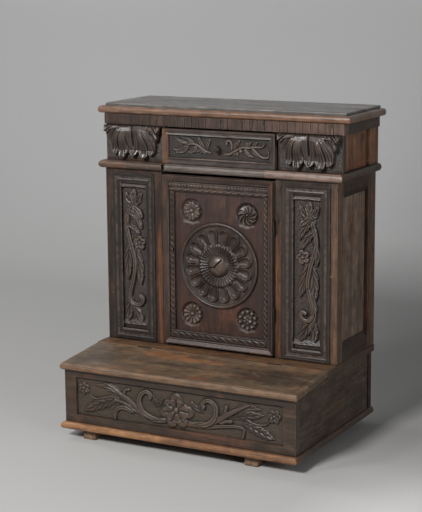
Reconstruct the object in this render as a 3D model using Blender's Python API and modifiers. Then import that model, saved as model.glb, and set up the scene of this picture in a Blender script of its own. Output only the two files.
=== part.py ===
"""Carved walnut prayer stool: a kneeling chest with a hinged lid, a cupboard with a
hinged door behind it, and a drawer between two leaf corbels under the top board.

Lengths are in metres. The origin is on the floor, under the middle of the stool's box.
+X is the stool's right as the kneeler's side is faced, -Y is its front, +Z is up.
Depths are measured forward from the stool's flat back.
"""

import math

import bmesh
import bpy
from mathutils import Matrix, Vector

# Driving dimensions of the whole stool
TOTAL_HEIGHT = 0.900
TOTAL_DEPTH = 0.518
CASE_WIDTH = 0.710
CASE_DEPTH = 0.260
STEP_TOP = 0.229
STAGE_HEIGHT = 0.100
DOOR_OPENING = 0.348

# Clearances and edge finish shared by all pieces
FIT = 0.0003
WELD = FIT / 10
EDGE_EASE = 0.0008
OVERRUN = 0.004

# Foot battens
FOOT_HEIGHT = 0.027
FOOT_WIDTH = 0.039
FOOT_LEFT_INSET = 0.071
FOOT_RIGHT_INSET = 0.130
FOOT_FRONT_INSET = 0.021
FOOT_BACK_INSET = 0.020

# Base board of the chest
BASE_THICKNESS = 0.020
BASE_OVERHANG = 0.008
BASE_FRONT_OVERHANG = 0.015
BASE_NOSE = 0.0085
NOSE_SEGMENTS = 3

# Boards and stiles of the chest
CHEST_SIDE_INSET = 0.006
CHEST_BOARD = 0.020
CHEST_BACK_THICKNESS = 0.018
CHEST_SLOT_WIDTH = 0.012
CHEST_SLOT_SUNK = 0.008
STILE_THICKNESS = 0.036
BACK_INSET = 0.004
BACK_THICKNESS = 0.012
CARVED_FRAME_X = 0.0335
CARVED_FRAME_Z = 0.0200
CARVED_SUNK = 0.0065
CARVED_TOP_FRAME = 0.018
CARVED_SLOPE = 0.004
CHEST_KEYHOLE_ABOVE_FIELD = 0.0715

# Fixed step board behind the lid
STEP_THICKNESS = 0.019
STEP_OVERHANG = 0.002
STEP_STRIP = 0.062

# Lid
LID_THICKNESS = STEP_THICKNESS
LID_DROP = 0.016
LID_OVERHANG = 0.008
LID_FRONT_OVERHANG = 0.013
LID_NOSE = 0.0075

# Butt hinges, shared by the lid and the door
HINGE_LENGTH = 0.040
KNUCKLE_RADIUS = 0.0026
KNUCKLE_PLAY = 0.0004
PIN_RADIUS = 0.0012
BORE_RADIUS = 0.0017
LEAF_THICKNESS = 0.0009
LEAF_HALF_GAP = 0.0003
LEAF_DEPTH = 0.015
KNUCKLE_SIDES = 16
HINGE_HALF_GAP = LEAF_HALF_GAP + LEAF_THICKNESS + FIT
HINGE_NOTCH = KNUCKLE_RADIUS + 2 * FIT
LID_HINGE_INSET = 0.148

# Lid lock: plate with two bridges, a sliding bolt and the staple under the lid
LOCK_PLATE = 0.002
LID_LOCK_WIDTH = 0.070
LID_LOCK_HEIGHT = 0.072
LID_LOCK_TOP_GAP = 0.004
BRIDGE_WIDTH = 0.005
BRIDGE_WALL = 0.002
BRIDGE_NEAR_X = 0.0105
BRIDGE_FAR_X = 0.0245
BOLT_THICKNESS = 0.0040
BOLT_HEIGHT = 0.0080
LID_BOLT_LENGTH = 0.034
LID_BOLT_STANDOFF = 0.0095
LID_BOLT_BELOW_TOP = 0.0105
LID_BOLT_REST_X = 0.0042
STAPLE_WIDTH = 0.0086
STAPLE_THICKNESS = 0.0030
STAPLE_DROP = 0.0225
STAPLE_EYE_MARGIN = 0.0010

# Keyholes
KEYHOLE_RADIUS = 0.0022
KEYHOLE_SLOT_WIDTH = 0.0022
KEYHOLE_SLOT_DROP = 0.0075
KEYHOLE_SIDES = 12

# Cupboard: pilasters beside the door
PILASTER_THICKNESS = 0.038
PILASTER_RING_INNER_STILE = 0.024
PILASTER_RING_OUTER_STILE = 0.0205
PILASTER_RING_TOP_GAP = 0.0115
PILASTER_RING_BOTTOM_GAP = 0.0045
PILASTER_RING_WIDTH = 0.0285
PILASTER_RING_PROUD = 0.0035
PILASTER_RING_SEAT = 0.0012
PILASTER_RING_SHARES = ((0.0, 1.0), (0.25, 1.0), (0.10, 0.55), (0.21, 0.55), (0.10, 0.85), (0.20, 0.85),
                        (0.14, 0.25))
PILASTER_RECESS = 0.0080

# Cupboard: framed sides and back
SIDE_STILE_WIDTH = 0.050
SIDE_RAIL_THICKNESS = 0.020
SIDE_TOP_RAIL = 0.033
SIDE_TOP_CHAMFER = 0.014
SIDE_BOTTOM_RAIL = 0.025
SIDE_BOTTOM_CHAMFER = 0.026
SIDE_CHAMFER_DEPTH = 0.007
SIDE_PANEL_SUNK = 0.008
SIDE_PANEL_THICKNESS = 0.010
SIDE_PANEL_REAR_GAP = 0.006

# Shelf board between the cupboard and the drawer, and its half-round edge
SHELF_THICKNESS = 0.022
SHELF_OVERHANG = 0.006
SHELF_FRONT_OVERHANG = 0.002
TORUS_RADIUS = 0.011
TORUS_STEPS = 10
TORUS_LEFT_OVERLAP = 0.005
TORUS_GAP = 0.0105
TORUS_JOINT_INSET = 0.027

# Door
DOOR_THICKNESS = 0.020
DOOR_LOCK_GAP = 0.0045
DOOR_TOP_GAP = 0.007
DOOR_BOTTOM_GAP = 0.005
DOOR_STILE = 0.0340
DOOR_TOP_RAIL = 0.046
DOOR_BOTTOM_RAIL = 0.041
DOOR_FIELD_SUNK = 0.0055
DOOR_RING_INSET = 0.0018
DOOR_RING_WIDTH = 0.0165
DOOR_RING_PROUD = 0.0085
DOOR_RING_SHARES = ((0.0, 1.0), (0.18, 1.0), (0.30, 0.73), (0.21, 0.54), (0.18, 0.57), (0.13, 0.35))
DOOR_HINGE_PROUD = 0.0065
DOOR_HINGE_SHARES = (("upper", 0.741), ("lower", 0.240))
DOOR_LEAF_DEPTH = 0.022
DOOR_KEYHOLE_X_INSET = 0.031
DOOR_KEYHOLE_SHARE = 0.566
DOOR_LOCK_WIDTH = 0.066
DOOR_LOCK_HEIGHT = 0.070
DOOR_LOCK_EDGE_GAP = 0.003
DOOR_BRIDGE_NEAR = 0.006
DOOR_BRIDGE_FAR = 0.036
DOOR_BOLT_STANDOFF = 0.0030
DOOR_BOLT_EDGE_GAP = 0.001
DOOR_BOLT_LENGTH = 0.056
DOOR_BOLT_BELOW_KEYHOLE = 0.006
BOLT_TRAVEL = 0.010
BOLT_POCKET_PLAY = 0.0010
BOLT_POCKET_EXTRA = 0.003

# Carved patera in the middle of the door, and the sunk dishes round it
PATERA_FIELD_SHARE = 0.881
PATERA_BELOW_FIELD_MIDDLE = 0.003
PATERA_STEPS = 40
PATERA_BOSS_HEIGHT = 0.0180
PATERA_SHARES = ((0.0, 1.0), (0.10, 0.88), (0.235, 0.36), (0.25, 0.22), (0.50, 0.42), (0.52, 0.20),
                 (0.70, 0.56), (0.82, 0.34), (0.86, 0.10), (0.90, 0.10), (0.93, 0.32), (0.97, 0.32),
                 (1.0, 0.0), (0.0, 0.0))
DISH_RADIUS = 0.036
DISH_DEPTH = 0.0065
DISH_FLOOR_SHARE = 0.80
DISH_X = 0.0855
DISH_BELOW_FIELD_TOP = 0.053
DISH_ABOVE_FIELD_BOTTOM = 0.0485
DISH_STEPS = 24

# Drawer stage
STAGE_SET_BACK = 0.0175
STAGE_PROUD_SIDE = 0.006
STAGE_FRONT_THICKNESS = 0.020
STAGE_SIDE_THICKNESS = 0.022
STAGE_STILE_WIDTH = 0.059
STAGE_SIDE_SUNK = 0.005
STAGE_SLOT = 0.014
STAGE_SLOT_SUNK = 0.012
FRIEZE_HEIGHT = 0.030
FRIEZE_PROUD_FRONT = 0.004
FRIEZE_PROUD_SIDE = 0.004
FRIEZE_FRONT_THICKNESS = 0.028
GROOVE_WIDTH = 0.0016
GROOVE_DEPTH = 0.0025
GROOVE_PITCH = 0.0222
GROOVE_FIRST_INSET = 0.029
GROOVE_COUNT = 27

# Leaf corbels
CORBEL_SIDE_INSET = 0.002
CORBEL_INNER_INSET = 0.005
CORBEL_TOP_GAP = 0.0015
CORBEL_BOTTOM_GAP = 0.0060
CORBEL_BELLY = 0.027
CORBEL_RIM = 0.003
CORBEL_GRID_ACROSS = 24
CORBEL_GRID_UP = 14

# Top board
TOP_FILLET_THICKNESS = 0.008
TOP_NOSE_THICKNESS = 0.020
TOP_OVERHANG_SIDE = 0.028
TOP_OVERHANG_FRONT = 0.0095
TOP_STEP = 0.0165
TOP_NOSE = 0.0085
TOP_FILLET_NOSE = 0.003

# Drawer
DRAWER_SIDE_PLAY = 0.002
DRAWER_TOP_PLAY = 0.004
DRAWER_FRONT_THICKNESS = 0.022
DRAWER_FRONT_PROUD = 0.008
DRAWER_RING_WIDTH = 0.017
DRAWER_RING_PROUD = 0.0080
DRAWER_RING_SHARES = ((0.0, 1.0), (0.21, 1.0), (0.26, 0.60), (0.18, 0.60), (0.23, 0.82), (0.12, 0.38))
DRAWER_BOARD = 0.010
DRAWER_BACK_INSET = 0.030
DRAWER_SIDE_LOWER = 0.012
DRAWER_BOTTOM_THICKNESS = 0.006
DRAWER_BOTTOM_ABOVE = 0.003
GUIDE_WIDTH = 0.012
GUIDE_HEIGHT = 0.015
GUIDE_PLAY = 0.0007
GUIDE_BACK_INSET = 0.020
KNOB_RADIUS = 0.0092
KNOB_LENGTH = 0.0200
KNOB_STEPS = 20
KNOB_SHARES = ((0.0, 1.0), (0.55, 0.985), (0.90, 0.86), (1.0, 0.70), (0.90, 0.54), (0.50, 0.42),
               (0.42, 0.30), (0.62, 0.10), (0.66, 0.0), (0.0, 0.0))

# Levels and planes worked out from the sizes above
HALF_CASE = CASE_WIDTH / 2
HALF_CHEST = HALF_CASE - CHEST_SIDE_INSET
HALF_STAGE = HALF_CASE + STAGE_PROUD_SIDE
BACK_Y = TOTAL_DEPTH / 2
CHEST_DEPTH = TOTAL_DEPTH - BASE_FRONT_OVERHANG
STAGE_DEPTH = CASE_DEPTH - STAGE_SET_BACK
HINGE_DEPTH = CASE_DEPTH + STEP_STRIP
LID_HINGE_X = HALF_CHEST - LID_HINGE_INSET
BASE_BOTTOM = FOOT_HEIGHT
BASE_TOP = FOOT_HEIGHT + BASE_THICKNESS
STEP_BOTTOM = STEP_TOP - STEP_THICKNESS
TOP_BOTTOM = TOTAL_HEIGHT - TOP_FILLET_THICKNESS - TOP_NOSE_THICKNESS
STAGE_TOP = TOP_BOTTOM - FRIEZE_HEIGHT
SHELF_TOP = STAGE_TOP - STAGE_HEIGHT
SHELF_BOTTOM = SHELF_TOP - SHELF_THICKNESS
HALF_DOOR_OPENING = DOOR_OPENING / 2
LID_FRONT_DEPTH = CHEST_DEPTH + LID_FRONT_OVERHANG
LID_RUN = LID_FRONT_DEPTH - HINGE_DEPTH
LID_TILT = math.atan2(LID_DROP, LID_RUN)
HALF_LID = HALF_CHEST + LID_OVERHANG
DOOR_AXIS_X = HALF_DOOR_OPENING - HINGE_HALF_GAP
DOOR_RIGHT_X = DOOR_AXIS_X - HINGE_HALF_GAP
DOOR_LEFT_X = -HALF_DOOR_OPENING + DOOR_LOCK_GAP
DOOR_BOTTOM = STEP_TOP + DOOR_BOTTOM_GAP
DOOR_TOP = SHELF_BOTTOM - DOOR_TOP_GAP
DOOR_HEIGHT = DOOR_TOP - DOOR_BOTTOM
DOOR_KEYHOLE_Z = DOOR_BOTTOM + DOOR_KEYHOLE_SHARE * DOOR_HEIGHT
DOOR_BACK_DEPTH = CASE_DEPTH - DOOR_THICKNESS
DOOR_FIELD_DEPTH = CASE_DEPTH - DOOR_FIELD_SUNK
DRAWER_FRONT_DEPTH = STAGE_DEPTH + DRAWER_FRONT_PROUD
SHELF_DEPTH = CASE_DEPTH + SHELF_FRONT_OVERHANG
HALF_SHELF = HALF_CASE + SHELF_OVERHANG

PARTS = bpy.data.collections.new("prayer_stool")
CUTTERS = bpy.data.collections.new("cutters")
SIDES = (("left", -1), ("right", 1))


def clear_scene():
    """Remove whatever the open file holds and link the two collections."""
    for item in list(bpy.data.objects):
        bpy.data.objects.remove(item, do_unlink=True)
    for collection in (PARTS, CUTTERS):
        bpy.context.scene.collection.children.link(collection)


def finish(name, colour, roughness, metallic=0.0):
    """A plain surface finish with the piece's colour, roughness and metallic value."""
    material = bpy.data.materials.new(name)
    material.use_nodes = True
    shader = material.node_tree.nodes["Principled BSDF"]
    shader.inputs["Base Color"].default_value = (*colour, 1.0)
    shader.inputs["Roughness"].default_value = roughness
    shader.inputs["Metallic"].default_value = metallic
    return material


def walnut(name):
    """Old dark walnut, waxed."""
    return finish(f"{name}_walnut", (0.060, 0.038, 0.027), 0.48)


def worn_walnut(name):
    """Walnut rubbed pale on an edge that hands and knees touch."""
    return finish(f"{name}_worn_walnut", (0.150, 0.080, 0.045), 0.42)


def top_walnut(name):
    """The greyer walnut of a flat upper face."""
    return finish(f"{name}_grey_walnut", (0.085, 0.060, 0.045), 0.50)


def plain_wood(name):
    """The unpolished wood of backs, guides and drawer sides."""
    return finish(f"{name}_plain_wood", (0.190, 0.120, 0.070), 0.75)


def iron(name):
    """Dark wrought iron of hinges and locks."""
    return finish(f"{name}_iron", (0.050, 0.048, 0.046), 0.55, 0.9)


def y_at(depth):
    """The Y coordinate that lies a depth in front of the stool's back."""
    return BACK_Y - depth


def span(sign, near, far):
    """An X span from near to far off the middle, on the side that sign gives."""
    return tuple(sorted((sign * near, sign * far)))


def mesh_from(bm, name):
    """Turn a bmesh into a mesh with its faces pointing outwards."""
    bmesh.ops.recalc_face_normals(bm, faces=bm.faces)
    mesh = bpy.data.meshes.new(name)
    bm.to_mesh(mesh)
    bm.free()
    return mesh


def place(name, mesh, location, material, parent=None, collection=PARTS):
    """Add a mesh to the scene at a place in the world, kept there by its parent."""
    item = bpy.data.objects.new(name, mesh)
    item.location = location
    if material is not None:
        item.data.materials.append(material)
    if parent is not None:
        item.parent = parent
        item.matrix_parent_inverse = Matrix.Translation(parent.location).inverted()
    collection.objects.link(item)
    return item


def block(size):
    """A box mesh in bmesh form, centred on its own origin."""
    bm = bmesh.new()
    bmesh.ops.create_cube(bm, size=1.0)
    bmesh.ops.scale(bm, vec=Vector(size), verts=bm.verts)
    return bm


def ease_edges(item, width=EDGE_EASE):
    """Take the sharpness off a piece's edges."""
    modifier = item.modifiers.new("eased edges", "BEVEL")
    modifier.width = width
    modifier.segments = 1
    modifier.limit_method = "ANGLE"
    return modifier


def board(name, xs, depths, zs, material, parent=None, ease=True):
    """A plain board from its spans in X, in depth and in Z."""
    low = Vector((min(xs), y_at(max(depths)), min(zs)))
    high = Vector((max(xs), y_at(min(depths)), max(zs)))
    mesh = mesh_from(block(high - low), name)
    item = place(name, mesh, (low + high) / 2, material, parent)
    if ease:
        ease_edges(item)
    return item


def nosed_board(name, xs, depths, zs, nose, material, parent=None):
    """A board whose front and side edges are rounded, above and below."""
    low = Vector((min(xs), y_at(max(depths)), min(zs)))
    high = Vector((max(xs), y_at(min(depths)), max(zs)))
    size = high - low
    bm = block(size)
    round_edges(bm, size, nose)
    return place(name, mesh_from(bm, name), (low + high) / 2, material, parent)


def round_edges(bm, size, nose):
    """Round the front and side edges of a box, leaving its back edges square."""
    def rounded(edge):
        ends = [vert.co for vert in edge.verts]
        level = abs(ends[0].z - ends[1].z) < size.z / 2
        at_back = all(end.y > 0 for end in ends)
        return level and not at_back
    edges = [edge for edge in bm.edges if rounded(edge)]
    bmesh.ops.bevel(bm, geom=edges, offset=nose, segments=NOSE_SEGMENTS, profile=0.5,
                    affect="EDGES")


def outline_solid(name, points, length):
    """A solid of a flat outline in X and Y, drawn out along Z by a length."""
    curve = bpy.data.curves.new(name, "CURVE")
    curve.dimensions = "2D"
    curve.fill_mode = "BOTH"
    curve.extrude = length / 2
    spline = curve.splines.new("POLY")
    spline.points.add(len(points) - 1)
    for point, (x, y) in zip(spline.points, points):
        point.co = (x, y, 0, 1)
    spline.use_cyclic_u = True
    return solid_of(curve, name)


def side_outline(name, points, xs, material, parent=None):
    """A piece cut from a side outline of (depth, height) points, as thick as its X span."""
    flat = [(y_at(depth), height) for depth, height in points]
    mesh = outline_solid(name, flat, max(xs) - min(xs))
    mesh.transform(Matrix(((0, 0, 1), (1, 0, 0), (0, 1, 0))).to_4x4())
    middle = (max(xs) + min(xs)) / 2
    return place(name, mesh, (middle, 0, 0), material, parent)


def solid_of(curve, name):
    """The closed mesh of a curve, with its caps welded on."""
    guide = bpy.data.objects.new(f"{name}_outline", curve)
    CUTTERS.objects.link(guide)
    graph = bpy.context.evaluated_depsgraph_get()
    mesh = bpy.data.meshes.new_from_object(guide.evaluated_get(graph))
    bpy.data.objects.remove(guide, do_unlink=True)
    bm = bmesh.new()
    bm.from_mesh(mesh)
    bmesh.ops.remove_doubles(bm, verts=bm.verts, dist=WELD)
    bpy.data.meshes.remove(mesh)
    return mesh_from(bm, name)


def cutter(name, bm, location, parent=None):
    """A shape that is only used to cut or to join."""
    item = place(name, mesh_from(bm, name), location, None, parent, CUTTERS)
    item.hide_render = True
    item.display_type = "WIRE"
    return item


def combine(item, tool, operation="DIFFERENCE"):
    """Cut a tool out of a piece, or join the tool to it."""
    modifier = item.modifiers.new(f"{operation.lower()} {tool.name}", "BOOLEAN")
    modifier.operation = operation
    modifier.object = tool
    modifier.solver = "EXACT"
    return modifier


def cut_box(item, name, xs, depths, zs, parent=None):
    """Cut a box out of a piece."""
    bm = bmesh.new()
    box_into(bm, (min(xs), y_at(max(depths)), min(zs)), (max(xs), y_at(min(depths)), max(zs)))
    combine(item, cutter(name, bm, (0, 0, 0), parent))


def keyhole_cutter(name, x, depths, z, parent=None):
    """A round hole with a slot under it, through the given depths."""
    length = max(depths) - min(depths)
    middle = y_at((max(depths) + min(depths)) / 2)
    bm = bmesh.new()
    bmesh.ops.create_cone(bm, cap_ends=True, segments=KEYHOLE_SIDES, radius1=KEYHOLE_RADIUS,
                          radius2=KEYHOLE_RADIUS, depth=length)
    bmesh.ops.rotate(bm, matrix=Matrix.Rotation(math.pi / 2, 3, "X"), verts=bm.verts)
    hole = cutter(f"{name}_round", bm, (x, middle, z), parent)
    slot_bm = block((KEYHOLE_SLOT_WIDTH, length - FIT, KEYHOLE_SLOT_DROP))
    slot = cutter(f"{name}_slot", slot_bm, (x, middle, z - KEYHOLE_SLOT_DROP / 2), parent)
    combine(hole, slot, "UNION")
    return hole


def moulding_ring(name, xs, zs, back_depth, ring_size, shares, material, parent=None):
    """A mitred frame of a width and a height over its back.

    Each pair of shares goes inwards by its share of the width, to its share of the height.
    """
    width, height = ring_size
    size = Vector((max(xs) - min(xs), height, max(zs) - min(zs)))
    bm = block(size)
    back_y = size.y / 2
    front = min(bm.faces, key=lambda face: face.calc_center_median().y)
    back = max(bm.faces, key=lambda face: face.calc_center_median().y)
    for width_share, height_share in shares[1:]:
        bmesh.ops.inset_region(bm, faces=[front], thickness=width_share * width, use_even_offset=True)
        for vert in front.verts:
            vert.co.y = back_y - height_share * height
    bmesh.ops.inset_region(bm, faces=[back], thickness=width, use_even_offset=True)
    rims = list(front.edges) + list(back.edges)
    bmesh.ops.delete(bm, geom=[front, back], context="FACES_ONLY")
    bmesh.ops.bridge_loops(bm, edges=rims)
    centre = ((max(xs) + min(xs)) / 2, y_at(back_depth) - size.y / 2, (max(zs) + min(zs)) / 2)
    return place(name, mesh_from(bm, name), centre, material, parent)


def shaped(shares, radius, height):
    """A turned profile from pairs of shares of a radius and of a height."""
    return [(radius_share * radius, height_share * height) for radius_share, height_share in shares]


def turned(name, profile, steps, location, material, parent=None):
    """A piece turned about an axis that points forward, from (radius, height) points."""
    bm = bmesh.new()
    verts = [bm.verts.new((radius, 0, height)) for radius, height in profile]
    for first, second in zip(verts, verts[1:]):
        bm.edges.new((first, second))
    mesh = bpy.data.meshes.new(name)
    bm.to_mesh(mesh)
    bm.free()
    item = place(name, mesh, location, material, parent)
    item.rotation_euler.x = math.pi / 2
    modifier = item.modifiers.new("turning", "SCREW")
    modifier.axis = "Z"
    modifier.steps = steps
    modifier.render_steps = steps
    modifier.use_merge_vertices = True
    modifier.merge_threshold = WELD
    modifier.use_smooth_shade = True
    return item


def joint_empty(name, location):
    """A marker on the axis of a moving piece."""
    empty = bpy.data.objects.new(name, None)
    empty.location = location
    empty.empty_display_size = HINGE_LENGTH
    PARTS.objects.link(empty)
    return empty


def foot_battens():
    """Two battens that run from front to back under the base board."""
    depths = (FOOT_BACK_INSET, TOTAL_DEPTH - FOOT_FRONT_INSET)
    centres = (("left", FOOT_LEFT_INSET - HALF_CHEST), ("right", HALF_CHEST - FOOT_RIGHT_INSET))
    for side, centre in centres:
        name = f"foot_batten_{side}"
        xs = (centre - FOOT_WIDTH / 2, centre + FOOT_WIDTH / 2)
        board(name, xs, depths, (0, FOOT_HEIGHT - FIT), walnut(name))


def base_board():
    """The chest's bottom board, with a rounded edge that shows on three sides."""
    half = HALF_CHEST + BASE_OVERHANG
    nosed_board("base_board", (-half, half), (0, TOTAL_DEPTH), (BASE_BOTTOM, BASE_TOP - FIT),
                BASE_NOSE, worn_walnut("base_board"))


def lid_underside(depth):
    """Height of the closed lid's underside at a depth."""
    fall = (depth - HINGE_DEPTH) * math.tan(LID_TILT)
    return STEP_TOP - fall - LID_THICKNESS


def chest_front():
    """The carved front of the kneeling chest, sunk inside a plain border, with a keyhole."""
    back = CHEST_DEPTH - CHEST_BOARD
    outline = (
        (back, BASE_TOP),
        (CHEST_DEPTH, BASE_TOP),
        (CHEST_DEPTH, lid_underside(CHEST_DEPTH) - FIT),
        (back, lid_underside(back) - FIT),
    )
    name = "chest_front"
    front = side_outline(name, outline, (-HALF_CHEST, HALF_CHEST), walnut(name))
    ease_edges(front)
    half_x = HALF_CHEST - CARVED_FRAME_X
    low = BASE_TOP + CARVED_FRAME_Z
    high = lid_underside(CHEST_DEPTH) - CARVED_TOP_FRAME
    bm = block((2 * half_x, CARVED_SUNK + OVERRUN, high - low))
    inner = max(bm.faces, key=lambda face: face.calc_center_median().y)
    for vert in inner.verts:
        vert.co.x -= math.copysign(CARVED_SLOPE, vert.co.x)
        vert.co.z -= math.copysign(CARVED_SLOPE, vert.co.z)
    depth = CHEST_DEPTH - CARVED_SUNK + (CARVED_SUNK + OVERRUN) / 2
    combine(front, cutter("chest_front_field", bm, (0, y_at(depth), (low + high) / 2)))
    keyhole_depths = (back - OVERRUN, CHEST_DEPTH + OVERRUN)
    keyhole_z = low + CHEST_KEYHOLE_ABOVE_FIELD
    combine(front, keyhole_cutter("chest_keyhole", 0, keyhole_depths, keyhole_z))


def chest_sides():
    """The chest's side boards, their top edges following the step board and the lid."""
    rear = CHEST_BACK_THICKNESS + FIT
    front = CHEST_DEPTH - CHEST_BOARD - FIT
    outline = (
        (rear, BASE_TOP),
        (front, BASE_TOP),
        (front, lid_underside(front) - FIT),
        (HINGE_DEPTH, STEP_BOTTOM - FIT),
        (rear, STEP_BOTTOM - FIT),
    )
    for side, sign in SIDES:
        name = f"chest_side_{side}"
        xs = span(sign, HALF_CHEST - CHEST_BOARD, HALF_CHEST)
        item = side_outline(name, outline, xs, walnut(name))
        slot_xs = span(sign, HALF_CHEST - CHEST_SLOT_SUNK, HALF_CHEST + OVERRUN)
        cut_box(item, f"chest_slot_{side}", slot_xs, (rear - OVERRUN, rear + CHEST_SLOT_WIDTH),
                (BASE_TOP - OVERRUN, STEP_BOTTOM + OVERRUN))
        ease_edges(item)


def chest_back():
    """The board that closes the back of the chest."""
    board("chest_back_board", (-HALF_CHEST, HALF_CHEST), (0, CHEST_BACK_THICKNESS),
          (BASE_TOP, STEP_BOTTOM - FIT), plain_wood("chest_back_board"))


def hinge_notch(name, length_x, centre_x):
    """The space that a hinge's knuckles need in the edge of a board."""
    size = (length_x + 2 * FIT, 2 * HINGE_NOTCH, 2 * HINGE_NOTCH)
    return cutter(name, block(size), (centre_x, y_at(HINGE_DEPTH), STEP_TOP))


def step_board():
    """The fixed board behind the lid, which runs back under the cupboard as its floor."""
    half = HALF_CASE + STEP_OVERHANG
    depths = (0, HINGE_DEPTH - HINGE_HALF_GAP)
    step = board("step_board", (-half, half), depths, (STEP_BOTTOM, STEP_TOP - FIT),
                 top_walnut("step_board"))
    for side, sign in SIDES:
        notch = hinge_notch(f"step_notch_{side}", HINGE_LENGTH, sign * LID_HINGE_X)
        combine(step, notch)


def lid(axis):
    """The chest's lid, falling towards the front, its rear edge cut plumb."""
    low = Vector((-HALF_LID, y_at(LID_FRONT_DEPTH), STEP_TOP - LID_THICKNESS))
    high = Vector((HALF_LID, y_at(HINGE_DEPTH + HINGE_HALF_GAP), STEP_TOP))
    size = high - low
    bm = block(size)
    round_edges(bm, size, LID_NOSE)
    bmesh.ops.translate(bm, vec=(low + high) / 2 - Vector(axis.location), verts=bm.verts)
    for vert in bm.verts:
        drop = vert.co.y * math.tan(LID_TILT)
        vert.co.z += drop
    item = bpy.data.objects.new("lid", mesh_from(bm, "lid"))
    item.data.materials.append(worn_walnut("lid"))
    item.parent = axis
    PARTS.objects.link(item)
    for side, sign in SIDES:
        combine(item, hinge_notch(f"lid_notch_{side}", HINGE_LENGTH, sign * LID_HINGE_X))


def knuckle(bm, low, high):
    """Add a length of hinge barrel along Z."""
    made = bmesh.ops.create_cone(bm, cap_ends=True, segments=KNUCKLE_SIDES,
                                 radius1=KNUCKLE_RADIUS, radius2=KNUCKLE_RADIUS,
                                 depth=high - low)
    bmesh.ops.translate(bm, vec=(0, 0, (high + low) / 2), verts=made["verts"])


def box_into(bm, low, high):
    """Add a box between two corners."""
    low = Vector(low)
    high = Vector(high)
    made = bmesh.ops.create_cube(bm, size=1.0)
    bmesh.ops.scale(bm, vec=high - low, verts=made["verts"])
    bmesh.ops.translate(bm, vec=(low + high) / 2, verts=made["verts"])


def union_of(shapes, name):
    """One closed mesh from several overlapping bmesh shapes."""
    tools = []
    for number, bm in enumerate(shapes):
        tools.append(cutter(f"{name}_piece_{number}", bm, (0, 0, 0)))
    base = tools[0]
    for tool in tools[1:]:
        combine(base, tool, "UNION")
    graph = bpy.context.evaluated_depsgraph_get()
    mesh = bpy.data.meshes.new_from_object(base.evaluated_get(graph))
    for tool in tools:
        bpy.data.objects.remove(tool, do_unlink=True)
    return mesh


def fixed_half(leaf_depth):
    """The hinge half that carries the pin: two end knuckles and a leaf behind +X."""
    third = HINGE_LENGTH / 3
    half = HINGE_LENGTH / 2
    clear = KNUCKLE_RADIUS + KNUCKLE_PLAY
    shapes = []
    pin = bmesh.new()
    bmesh.ops.create_cone(pin, cap_ends=True, segments=KNUCKLE_SIDES, radius1=PIN_RADIUS,
                          radius2=PIN_RADIUS, depth=HINGE_LENGTH - KNUCKLE_PLAY)
    shapes.append(pin)
    for low, high in ((-half, -half + third), (half - third, half)):
        barrel = bmesh.new()
        knuckle(barrel, low, high)
        shapes.append(barrel)
        tang = bmesh.new()
        box_into(tang, (LEAF_HALF_GAP, 0, low + FIT),
                 (LEAF_HALF_GAP + LEAF_THICKNESS, clear + FIT, high - FIT))
        shapes.append(tang)
    leaf = bmesh.new()
    box_into(leaf, (LEAF_HALF_GAP - WELD, clear, -half),
             (LEAF_HALF_GAP + LEAF_THICKNESS + WELD, leaf_depth, half))
    shapes.append(leaf)
    return union_of(shapes, "fixed_hinge_half")


def moving_half(leaf_depth):
    """The hinge half that turns: a bored middle knuckle and a leaf behind -X."""
    half = HINGE_LENGTH / 2
    reach = HINGE_LENGTH / 6 - KNUCKLE_PLAY
    clear = KNUCKLE_RADIUS + KNUCKLE_PLAY
    barrel = bmesh.new()
    knuckle(barrel, -reach, reach)
    tang = bmesh.new()
    box_into(tang, (-LEAF_HALF_GAP - LEAF_THICKNESS, BORE_RADIUS, -reach + FIT),
             (-LEAF_HALF_GAP, clear + FIT, reach - FIT))
    leaf = bmesh.new()
    box_into(leaf, (-LEAF_HALF_GAP - LEAF_THICKNESS - WELD, clear, -half),
             (-LEAF_HALF_GAP + WELD, leaf_depth, half))
    mesh = union_of((barrel, tang, leaf), "moving_hinge_half")
    solid = bmesh.new()
    solid.from_mesh(mesh)
    body = cutter("moving_half_body", solid, (0, 0, 0))
    bore = bmesh.new()
    bmesh.ops.create_cone(bore, cap_ends=True, segments=KNUCKLE_SIDES, radius1=BORE_RADIUS,
                          radius2=BORE_RADIUS, depth=HINGE_LENGTH)
    tool = cutter("moving_half_bore", bore, (0, 0, 0))
    combine(body, tool)
    graph = bpy.context.evaluated_depsgraph_get()
    bored = bpy.data.meshes.new_from_object(body.evaluated_get(graph))
    for item in (body, tool):
        bpy.data.objects.remove(item, do_unlink=True)
    return bored


def hinge(name, matrix, leaf_depth, axis):
    """One butt hinge: its fixed half stays with the case, its moving half with the axis marker."""
    for half, parent in (("fixed", None), ("moving", axis)):
        node = f"{name}_{half}"
        mesh = fixed_half(leaf_depth) if parent is None else moving_half(leaf_depth)
        origin = matrix.translation
        mesh.transform(matrix.to_3x3().to_4x4())
        place(node, mesh, origin, iron(node), parent)


def lid_hinges(axis):
    """Two butt hinges between the step board and the lid, their leaves hanging down."""
    turn = Matrix(((0, 0, -1), (1, 0, 0), (0, -1, 0))).to_4x4()
    for side, sign in SIDES:
        where = Matrix.Translation((sign * LID_HINGE_X, y_at(HINGE_DEPTH), STEP_TOP))
        hinge(f"lid_hinge_{side}", where @ turn, LEAF_DEPTH, axis)


def door_hinges(axis):
    """Two butt hinges between the right pilaster and the door's right stile."""
    for level, share in DOOR_HINGE_SHARES:
        height = DOOR_BOTTOM + share * DOOR_HEIGHT
        where = Matrix.Translation((DOOR_AXIS_X, y_at(CASE_DEPTH + DOOR_HINGE_PROUD), height))
        hinge(f"door_hinge_{level}", where, DOOR_LEAF_DEPTH, axis)


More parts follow.
